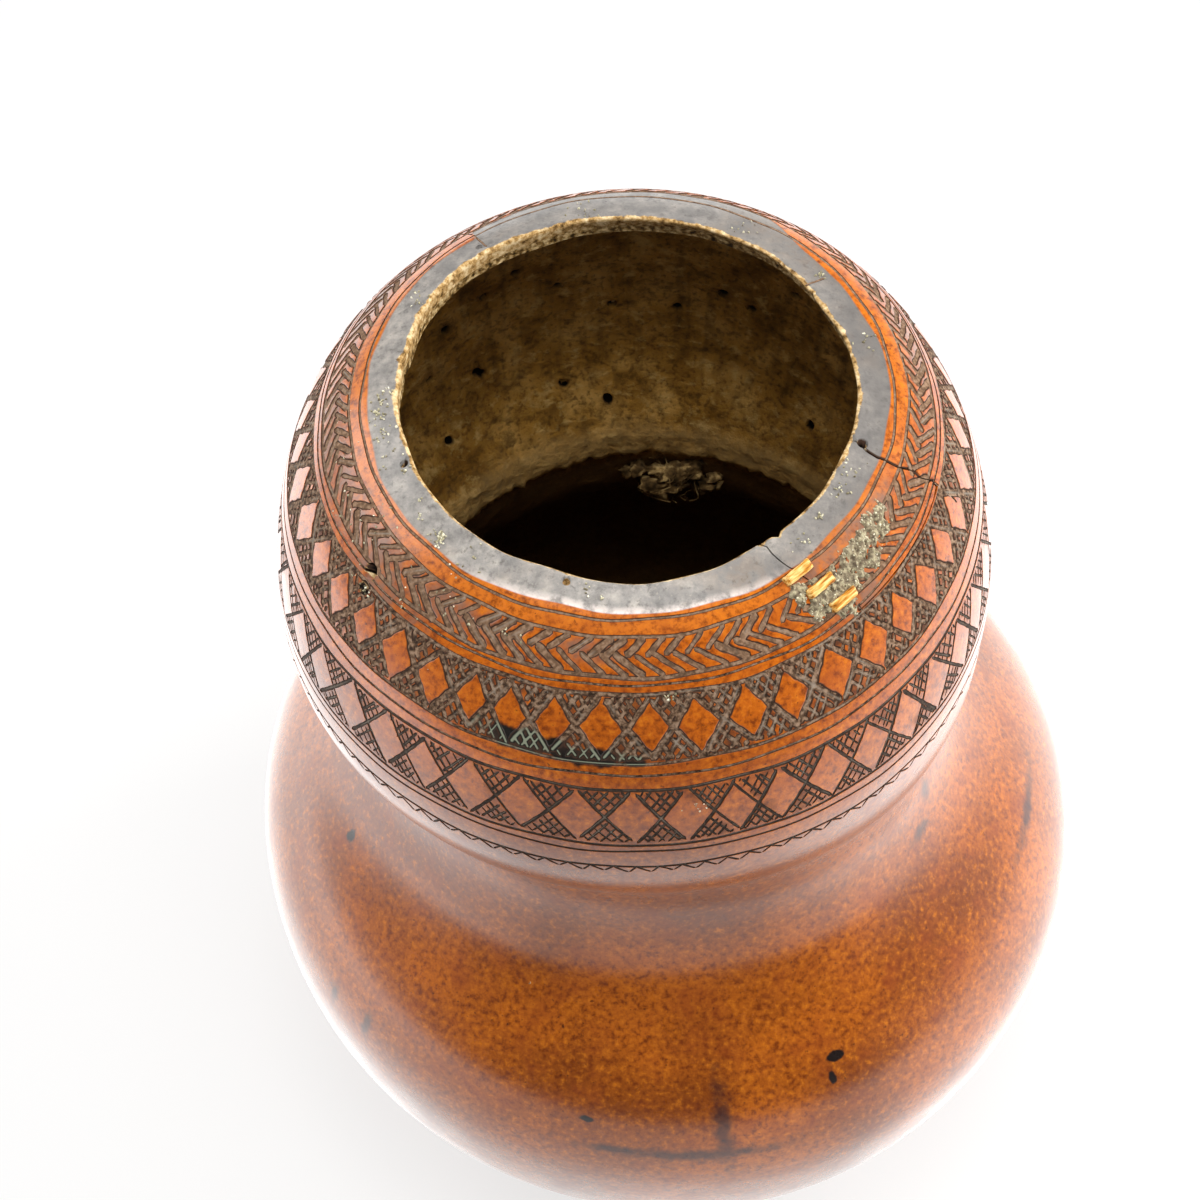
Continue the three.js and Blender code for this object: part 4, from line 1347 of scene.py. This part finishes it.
def oiled_rind():
    """Gourd rind, oiled and handled: mottled orange brown with a waxy shine, burnt grey at the rim"""
    material, tree, inputs = new_material("oiled_gourd_rind")
    add = partial(node, tree)
    spot = add("ShaderNodeTexCoord", out="Object")
    right, back, _ = add("ShaderNodeSeparateXYZ", {0: spot}).node.outputs
    down = add("ShaderNodeSeparateXYZ", {0: add("ShaderNodeUVMap", uv_map="wrap")}, out=1)
    marks = add("ShaderNodeAttribute", attribute_name="marks", out="Vector")
    soot_and_hole_shade, band, cut = add("ShaderNodeSeparateXYZ", {0: marks}).node.outputs
    broad = add("ShaderNodeTexNoise", {"Vector": spot, "Scale": per_mm(30), "Detail": 3.0})
    patch = add("ShaderNodeTexNoise", {"Vector": spot, "Scale": per_mm(7), "Detail": 4.0})
    scuffs = add("ShaderNodeTexNoise",
                 {"Vector": spot, "Scale": per_mm(3.6), "Detail": 6.0, "Roughness": 0.7})
    fine = add("ShaderNodeTexNoise",
               {"Vector": spot, "Scale": per_mm(1.4), "Detail": 5.0, "Roughness": 0.65})
    pores = add("ShaderNodeTexNoise", {"Vector": spot, "Scale": per_mm(0.9), "Detail": 2.0})

    # Ground colour, brighter orange on the shoulder and brighter still just below the rim
    colour = add("ShaderNodeValToRGB", {0: broad}, stops=((0.34, "#7C3E0F"), (0.66, "#B25D12")))
    colour = stained(tree, colour,
                     (down, 56 / WRAP_UNIT, 30 / WRAP_UNIT, 0.75, "#BA5C0E"),
                     (down, 13 / WRAP_UNIT, 10 / WRAP_UNIT, 0.5, "#D07420"),
                     (fine, 0.52, 0.34, 0.85, "#6A2C0A"),
                     (fine, 0.54, 0.7, 0.7, "#D07818"),
                     (patch, 0.52, 0.7, 0.45, "#8A3C10"),
                     (pores, 0.68, 0.76, 0.75, "#43200E"))

    # Grime over the engraving, streaks, spots and the black crust
    grime = add("ShaderNodeMapRange", {"Value": scuffs, "From Min": 0.3, "From Max": 0.55, "To Max": 0.9})
    grimy = blots(tree, GRIME, hard=0.3, soft=1.3)
    grime = add("ShaderNodeMath", {0: grimy, 1: grime}, operation="MULTIPLY")
    streaks = blots(tree, STREAKS, hard=0.2, soft=1.5)
    streaks = add("ShaderNodeMath", {0: streaks, 1: 0.8}, operation="MULTIPLY")
    spots = blots(tree, SPOTS, hard=0.75, soft=1.2)
    crust = blots(tree, CRUST, hard=0.7, soft=1.2)
    for share, dirt in ((grime, "#82604E"), (streaks, "#2A1A20"), (spots, "#1E1614"), (crust, "#1B1714")):
        colour = add("ShaderNodeMix", {0: share, 6: colour, 7: dirt}, out=2, data_type="RGBA")

    # Burnt rim with pale scuffs and brown stains
    char = add("ShaderNodeValToRGB", {0: scuffs},
               stops=((0.3, "#6E6A66"), (0.5, "#98938D"), (0.68, "#B8B0A6")))
    char = stained(tree, char,
                   (patch, 0.5, 0.66, 0.5, "#7A7876"),
                   (fine, 0.6, 0.72, 0.45, "#BCB2A2"),
                   (fine, 0.44, 0.32, 0.5, "#4A4440"))
    brown = add("ShaderNodeMapRange", {"Value": broad, "From Min": 0.5, "From Max": 0.62, "To Max": 0.5})
    soaked = add("ShaderNodeMapRange", {"Value": scuffs, "From Min": 0.42, "From Max": 0.56})
    brown = add("ShaderNodeMath", {0: brown, 1: soaked}, operation="MULTIPLY")
    char = add("ShaderNodeMix", {0: brown, 6: char, 7: "#6E5A48"}, out=2, data_type="RGBA")

    # It is darker at the right, the back and the far left, and has a painted pale glint along its edge in
    # front
    dark = add("ShaderNodeMapRange", {"Value": right, "From Max": 40 * MM, "To Max": 0.75})
    at_back = add("ShaderNodeMapRange",
                  {"Value": back, "From Min": 10 * MM, "From Max": 45 * MM, "To Max": 0.45})
    at_left = add("ShaderNodeMapRange",
                  {"Value": right, "From Min": -40 * MM, "From Max": -58 * MM, "To Max": 0.25})
    for side in (at_back, at_left):
        dark = add("ShaderNodeMath", {0: dark, 1: side}, operation="MAXIMUM")
    char = add("ShaderNodeMix", {0: dark, 6: char, 7: "#5E5A57"}, out=2, data_type="RGBA")
    # Painted glint: pale and patchy, just inside the burnt band's edge, in front only
    near_edge = add("ShaderNodeMapRange", {"Value": band, "From Min": 1.0, "From Max": 0.55})
    in_front = add("ShaderNodeMapRange", {"Value": back, "From Min": -34 * MM, "From Max": -46 * MM})
    patchy = add("ShaderNodeMapRange",
                 {"Value": scuffs, "From Min": 0.38, "From Max": 0.55, "To Min": 0.15})
    for limit in (in_front, patchy):
        near_edge = add("ShaderNodeMath", {0: near_edge, 1: limit}, operation="MULTIPLY")
    char = add("ShaderNodeMix", {0: near_edge, 6: char, 7: "#E0D2CA"}, out=2, data_type="RGBA")
    burnt = add("ShaderNodeMapRange", {"Value": band, "From Max": 0.5})
    colour = add("ShaderNodeMix", {0: burnt, 6: colour, 7: char}, out=2, data_type="RGBA")

    # Crumbly cut edge, sooty groove walls, and painted shade in the holes, dark brown then black
    cork = add("ShaderNodeValToRGB", {0: fine},
               stops=((0.34, "#523B20"), (0.48, "#AE8A56"), (0.64, "#E0C89C")))
    ragged = add("ShaderNodeMath", {0: scuffs, 1: 1.2, 2: cut}, operation="MULTIPLY_ADD")
    cut = add("ShaderNodeMapRange", {"Value": ragged, "From Min": 1.08, "From Max": 1.18})
    soot_and_shade = add("ShaderNodeMapRange", {"Value": soot_and_hole_shade, "From Max": 0.2})
    deep_shade = add("ShaderNodeMapRange", {"Value": soot_and_hole_shade, "From Min": 0.4, "From Max": 0.8})
    for share, cover in ((cut, cork), (soot_and_shade, "#3B2B22"), (deep_shade, "#0B0806")):
        colour = add("ShaderNodeMix", {0: share, 6: colour, 7: cover}, out=2, data_type="RGBA")

    # Waxy shine from handling, less where burnt, none where cut, sooty or painted as shade in the holes
    roughness = add("ShaderNodeMapRange", {"Value": patch, "From Min": 0.3, "From Max": 0.7,
                                           "To Min": 0.22, "To Max": 0.36})
    dull = add("ShaderNodeMath", {0: cut, 1: soot_and_shade}, operation="MAXIMUM")
    roughness = add("ShaderNodeMix", {0: dull, 2: roughness, 3: 0.85}, data_type="FLOAT")
    bare = add("ShaderNodeMath", {0: burnt, 1: 0.6}, operation="MULTIPLY")
    bare = add("ShaderNodeMath", {0: dull, 1: bare}, operation="MAXIMUM")
    wax = add("ShaderNodeMapRange", {"Value": bare, "To Min": 1.0, "To Max": 0.0})
    tree.links.new(wax, inputs["Coat Weight"])
    inputs["Coat Roughness"].default_value = 0.24
    inputs["Specular IOR Level"].default_value = 0.15
    height = add("ShaderNodeMath", {0: pores, 1: patch}, operation="ADD")
    dress(tree, inputs, colour, roughness=roughness, height=height, deep=0.05)
    return material


def groove_soot():
    """Soot and old dirt rubbed into the cuts: dull grey brown, dusty in places, darker lower down"""
    material, tree, inputs = new_material("soot_in_grooves")
    add = partial(node, tree)
    spot = add("ShaderNodeTexCoord", out="Object")
    down = add("ShaderNodeSeparateXYZ", {0: add("ShaderNodeUVMap", uv_map="wrap")}, out=1)
    marks = add("ShaderNodeAttribute", attribute_name="marks", out="Vector")
    level = add("ShaderNodeSeparateXYZ", {0: marks}, out=0)
    patch = add("ShaderNodeTexNoise", {"Vector": spot, "Scale": per_mm(5), "Detail": 3.0})
    fine = add("ShaderNodeTexNoise", {"Vector": spot, "Scale": per_mm(0.8), "Detail": 4.0})
    colour = add("ShaderNodeValToRGB", {0: fine},
                 stops=((0.36, "#2E2016"), (0.5, "#644C39"), (0.64, "#917761")))
    colour = stained(tree, colour,
                     (down, 19.5 / WRAP_UNIT, 17.5 / WRAP_UNIT, 0.35, "#8C6C52"),
                     (down, 36 / WRAP_UNIT, 39 / WRAP_UNIT, 0.8, "#322C28"))
    middle = add("ShaderNodeMapRange", {"Value": level, "From Min": 0.7, "From Max": 0.95})
    dusty = add("ShaderNodeMapRange", {"Value": patch, "From Min": 0.45, "From Max": 0.65, "To Max": 0.7})
    dust = add("ShaderNodeMath", {0: middle, 1: dusty}, operation="MULTIPLY")
    scraped = add("ShaderNodeMapRange", {"Value": level, "From Min": 0.6, "From Max": 0.85})
    scraped = add("ShaderNodeMix", {0: scraped, 6: "#1A1714", 7: "#858A76"}, out=2, data_type="RGBA")
    for share, cover in ((dust, "#8D8376"), (blots(tree, CRUST, hard=0.7, soft=1.2), scraped)):
        colour = add("ShaderNodeMix", {0: share, 6: colour, 7: cover}, out=2, data_type="RGBA")
    inputs["Specular IOR Level"].default_value = 0.25
    dress(tree, inputs, colour, roughness=0.8, height=fine, deep=0.1)
    return material


def corky_pith():
    """Dried flesh of the gourd: matt brown cork, scraped in flakes, tan at the mouth, with painted shade
    below the ledge and in the worm holes
    """
    material, tree, inputs = new_material("corky_pith")
    add = partial(node, tree)
    spot = add("ShaderNodeTexCoord", out="Object")
    down = add("ShaderNodeSeparateXYZ", {0: add("ShaderNodeUVMap", uv_map="wrap")}, out=1)
    marks = add("ShaderNodeAttribute", attribute_name="marks", out="Vector")
    pit, raised, cut = add("ShaderNodeSeparateXYZ", {0: marks}).node.outputs
    patch = add("ShaderNodeTexNoise",
                {"Vector": spot, "Scale": per_mm(11), "Detail": 5.0, "Distortion": 0.2})
    chips = add("ShaderNodeVectorMath", {0: spot, 1: (0.85, 0.85, 1.25)}, operation="MULTIPLY")
    flakes = add("ShaderNodeTexNoise", {"Vector": chips, "Scale": per_mm(4.5), "Detail": 7.0,
                                        "Roughness": 0.7, "Distortion": 0.15})
    fine = add("ShaderNodeTexNoise", {"Vector": spot, "Scale": per_mm(1.2), "Detail": 4.0})
    streaks = add("ShaderNodeVectorMath", {0: spot, 1: (1.0, 1.0, 0.12)}, operation="MULTIPLY")
    streaks = add("ShaderNodeTexNoise", {"Vector": streaks, "Scale": per_mm(3.0), "Detail": 3.0})
    colour = add("ShaderNodeValToRGB", {0: patch},
                 stops=((0.3, "#7C561C"), (0.5, "#A87B34"), (0.7, "#C69A52")))
    shade = down_at_depth(LEDGE_DEPTH, LINING_IN) + LEDGE_SHADE
    # The last stain is painted shade below the ledge, over the lower bulb's unlit wall
    colour = stained(tree, colour,
                     (streaks, 0.5, 0.32, 0.5, "#523A16"),
                     (flakes, 0.48, 0.36, 0.6, "#3E2A0C"),
                     (fine, 0.48, 0.34, 0.6, "#4A3312"),
                     (flakes, 0.54, 0.66, 0.75, "#CCA864"),
                     (raised, 0.3, 1.0, 0.55, "#B2925C"),
                     (down, 40 / WRAP_UNIT, 20 / WRAP_UNIT, 0.5, "#42300E"),
                     (down, shade / WRAP_UNIT, (shade + LEDGE_SHADE_FADE) / WRAP_UNIT, 0.9, "#553A1D"))
    tan = add("ShaderNodeValToRGB", {0: fine},
              stops=((0.34, "#33240F"), (0.48, "#8A6A3A"), (0.64, "#D2B684")))
    mouth = add("ShaderNodeMapRange",
                {"Value": down, "From Min": 1.4 / WRAP_UNIT, "From Max": 0.2 / WRAP_UNIT})
    mouth = add("ShaderNodeMath", {0: mouth, 1: cut}, operation="MAXIMUM")
    # Tan cut edge at the mouth, and painted shade: black in the worm holes
    for share, cover in ((mouth, tan), (pit, "#080604")):
        colour = add("ShaderNodeMix", {0: share, 6: colour, 7: cover}, out=2, data_type="RGBA")
    height = add("ShaderNodeMath", {0: fine, 1: 0.4, 2: flakes}, operation="MULTIPLY_ADD")
    dress(tree, inputs, colour, roughness=0.95, height=height, deep=1.5)
    return material


def split_cane():
    """Split cane: straw gold with darker fibres along it and a satin skin"""
    material, tree, inputs = new_material("split_cane")
    add = partial(node, tree)
    spot = add("ShaderNodeTexCoord", out="Object")
    along_strip = add("ShaderNodeMapping", {"Vector": spot, "Rotation": (0, 0, -STITCH_WAY)})
    fibres = add("ShaderNodeVectorMath", {0: along_strip, 1: (0.12, 1.0, 1.0)}, operation="MULTIPLY")
    fibres = add("ShaderNodeTexNoise", {"Vector": fibres, "Scale": per_mm(0.5), "Detail": 3.0})
    colour = add("ShaderNodeValToRGB", {0: fibres},
                 stops=((0.3, "#84480F"), (0.46, "#CC8A2C"), (0.66, "#F8D68C")))
    dress(tree, inputs, colour, roughness=0.4, height=fibres, deep=0.1)
    return material


def hardened_gum():
    """Plant gum, hardened and dusty: dull grey brown with paler grey-green grains"""
    material, tree, inputs = new_material("hardened_gum")
    add = partial(node, tree)
    spot = add("ShaderNodeTexCoord", out="Object")
    fine = add("ShaderNodeTexNoise", {"Vector": spot, "Scale": per_mm(1.0), "Detail": 3.0})
    colour = add("ShaderNodeValToRGB", {0: fine},
                 stops=((0.34, "#574A3A"), (0.5, "#877A62"), (0.66, "#B5AA8A")))
    dress(tree, inputs, colour, roughness=0.8, height=fine, deep=0.4)
    return material


def loose_crumbs(name, *shades):
    """Loose dry crumbs, each its own shade"""
    material, tree, inputs = new_material(name)
    shade = node(tree, "ShaderNodeNewGeometry", out="Random Per Island")
    places = np.linspace(0, 1, len(shades)).tolist()
    colour = node(tree, "ShaderNodeValToRGB", {0: shade}, stops=tuple(zip(places, shades)))
    tree.links.new(colour, inputs["Base Color"])
    inputs["Roughness"].default_value = 0.8
    return material


def dry_pulp():
    """Dried pulp: matt brown lumps, mottled dark and cream"""
    material, tree, inputs = new_material("dry_pulp")
    add = partial(node, tree)
    spot = add("ShaderNodeTexCoord", out="Object")
    patch = add("ShaderNodeTexNoise", {"Vector": spot, "Scale": per_mm(2.4), "Detail": 4.0})
    colour = add("ShaderNodeValToRGB", {0: patch},
                 stops=((0.35, "#2C2010"), (0.52, "#6A5230"), (0.68, "#C0A26A")))
    dress(tree, inputs, colour, roughness=0.95, height=patch, deep=0.3)
    return material


# Putting the jug together
def attach(piece, slot, *nodes):
    """A piece rides on the jug's body and stands in for CAD nodes; the slot argument is not used"""
    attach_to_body(piece, "root")
    if nodes:
        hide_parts(*nodes)


engrave()
shell, shard = shell_and_shard(oiled_rind())
attach(shell, "rind", "gourd_shell")
attach(shard, "rind", "rim_shard")
for fill in soot_fill(groove_soot()):
    attach(fill, "rind")
attach(lining(corky_pith()), "pith", "pith_lining")
cork_crumbs = loose_crumbs("cork_crumbs", "#33240F", "#634A28", "#8E6F40", "#C2A578")
attach(grown_from(lip_crumbs(), crumbs, cork_crumbs, Radius=LIP_CRUMB_R * MM), "pith")
cane = split_cane()
for number in range(STITCH_COUNT):
    attach(cane_strip(number, cane), "cane", f"cane_stitch_{number + 1}")
smear, grains = gum_patch(hardened_gum())
attach(smear, "gum", "gum_patch")
gum_crumbs = loose_crumbs("gum_crumbs", "#6A6048", "#8E866A", "#A8A082", "#CBC4A4", "#F0EAD2")
attach(grown_from(grains, crumbs, gum_crumbs, Radius=GUM_GRAIN_R * MM), "gum")
attach(grown_from(rim_crumbs(), crumbs, gum_crumbs, Radius=CRUMB_R * MM), "gum")
pulp = dry_pulp()
attach(pulp_lumps(pulp), "fibre", "pith_tuft")
attach(grown_from(fibre_lines(), strands, pulp, Radius=FIBRE_R * MM), "fibre")

# Camera at the photograph's viewing angle
SENSOR = 36
LENS = 64.5
CAMERA_SPOT = Vector((-16.6, -266.6, 551.5))
CAMERA_DIP = math.radians(55.36)
camera_data = bpy.data.cameras.new("camera")
camera_data.sensor_width = SENSOR
camera_data.lens = LENS
camera = linked("camera", camera_data)
camera.location = CAMERA_SPOT * MM
camera.rotation_euler = (math.pi / 2 - CAMERA_DIP, 0, 0)
bpy.context.scene.camera = camera

# White studio: white to the eye, and in reflections brightest at the far left, dark overhead and ahead
FLOOR_HALF = 3
SOFT_LIGHT = 0.41
WHITE_FLOOR = 0.68
SHADOW_END = (0.1, 0.5)
SHINE = 1.8
AHEAD_SHINE = 0.75
SIDE_SHINE = 1.4
SIDE_TURN = (0.5, 0.9)
CEILING_DARK = (-0.2, 0.4)
FRONT_DARK = (-0.1, -0.8)
FLOOR_END = (1.6, 2.8)
FAR_LEFT = (-0.35, -1.1)
FAR_LEFT_SHINE = 1.8
# Lamps: place, size, power and whether they show in the shine
LAMP_AIM = Vector((0, 0, 0.15))
LAMPS = {"softbox_top": ((0.0, -0.08, 0.78), 0.35, 2.6, False),
         "softbox_right": ((0.75, 0.15, 0.55), 0.55, 9.5, False),
         "softbox_left": ((-0.73, 0.22, 0.7), 0.6, 4.4, True)}
bpy.context.scene.view_settings.view_transform = "Standard"


def white(tree, dark, gain=1.0):
    """Whether the eye, a reflection or glass sends out a ray, and how bright white is to it"""
    add = partial(node, tree)
    path = add("ShaderNodeLightPath").node.outputs
    seen = path["Is Camera Ray"]
    for kind in ("Is Glossy Ray", "Is Transmission Ray"):
        seen = add("ShaderNodeMath", {0: seen, 1: path[kind]}, operation="MAXIMUM")
    shine = add("ShaderNodeMapRange", {"Value": dark, "To Min": SHINE, "To Max": 0.0})
    shine = add("ShaderNodeMath", {0: shine, 1: gain}, operation="MULTIPLY")
    strength = add("ShaderNodeMix", {0: path["Is Glossy Ray"], 2: 1.0, 3: shine}, data_type="FLOAT")
    return seen, strength


def white_floor():
    """White paper that keeps the jug's shadow, dimmer in reflections ahead and brighter at the sides"""
    mesh = bpy.data.meshes.new("floor")
    corners = [(x * FLOOR_HALF, y * FLOOR_HALF, 0) for x, y in ((-1, -1), (1, -1), (1, 1), (-1, 1))]
    mesh.from_pydata(corners, [], [(0, 1, 2, 3)])
    material = bpy.data.materials.new("white_paper")
    material.use_nodes = True
    tree = material.node_tree
    tree.nodes.clear()
    add = partial(node, tree)
    spot = add("ShaderNodeTexCoord", out="Object")
    right, back, _ = add("ShaderNodeSeparateXYZ", {0: spot}).node.outputs
    away = add("ShaderNodeVectorMath", {0: spot}, out="Value", operation="LENGTH")
    front = add("ShaderNodeMapRange", {"Value": back, "From Min": FRONT_DARK[0], "From Max": FRONT_DARK[1]})
    far = add("ShaderNodeMapRange", {"Value": away, "From Min": FLOOR_END[0], "From Max": FLOOR_END[1]})
    dark = add("ShaderNodeMath", {0: front, 1: far}, operation="MULTIPLY")
    aside = add("ShaderNodeMath", {0: right}, operation="ABSOLUTE")
    aside = add("ShaderNodeMath", {0: aside, 1: away}, operation="DIVIDE")
    sides = add("ShaderNodeMapRange", {"Value": aside, "From Min": SIDE_TURN[0], "From Max": SIDE_TURN[1],
                                       "To Min": AHEAD_SHINE, "To Max": SIDE_SHINE})
    left = add("ShaderNodeMapRange", {"Value": right, "From Min": FAR_LEFT[0], "From Max": FAR_LEFT[1],
                                      "To Min": 1.0, "To Max": FAR_LEFT_SHINE})
    sides = add("ShaderNodeMath", {0: sides, 1: left}, operation="MULTIPLY")
    seen, strength = white(tree, dark, sides)
    lit = add("ShaderNodeMapRange", {"Value": away, "From Min": SHADOW_END[0], "From Max": SHADOW_END[1],
                                     "To Min": WHITE_FLOOR, "To Max": 1.0})
    share = add("ShaderNodeMath", {0: seen, 1: lit}, operation="MULTIPLY")
    paper = add("ShaderNodeBsdfDiffuse", {"Color": "#F2F2F0"})
    glow = add("ShaderNodeEmission", {"Color": "#FFFFFF", "Strength": strength})
    surface = add("ShaderNodeMixShader", {0: share, 1: paper, 2: glow})
    add("ShaderNodeOutputMaterial", {"Surface": surface})
    mesh.materials.append(material)
    linked("floor", mesh)


def white_world():
    """White all round to the eye, soft light on the jug, dark overhead and ahead in reflections"""
    world = bpy.data.worlds.new("studio")
    bpy.context.scene.world = world
    world.use_nodes = True
    tree = world.node_tree
    tree.nodes.clear()
    add = partial(node, tree)
    sky = add("ShaderNodeTexCoord", out="Generated")
    _, back, up = add("ShaderNodeSeparateXYZ", {0: sky}).node.outputs
    above = add("ShaderNodeMapRange",
                {"Value": up, "From Min": CEILING_DARK[0], "From Max": CEILING_DARK[1]},
                interpolation_type="SMOOTHSTEP")
    front = add("ShaderNodeMapRange",
                {"Value": back, "From Min": FRONT_DARK[0], "From Max": FRONT_DARK[1]},
                interpolation_type="SMOOTHSTEP")
    dark = add("ShaderNodeMath", {0: above, 1: front}, operation="MAXIMUM")
    seen, strength = white(tree, dark)
    strength = add("ShaderNodeMix", {0: seen, 2: SOFT_LIGHT, 3: strength}, data_type="FLOAT")
    light = add("ShaderNodeBackground", {"Color": "#FFFFFF", "Strength": strength})
    add("ShaderNodeOutputWorld", {"Surface": light})


def softbox(name, spot, size, power, mirrored):
    """A square lamp turned to the jug"""
    data = bpy.data.lights.new(name, "AREA")
    data.energy = power
    data.size = size
    lamp = linked(name, data)
    lamp.location = spot
    lamp.rotation_euler = (LAMP_AIM - lamp.location).to_track_quat("-Z", "Y").to_euler()
    lamp.visible_glossy = mirrored


white_floor()
white_world()
for lamp_name, lamp_values in LAMPS.items():
    softbox(lamp_name, *lamp_values)
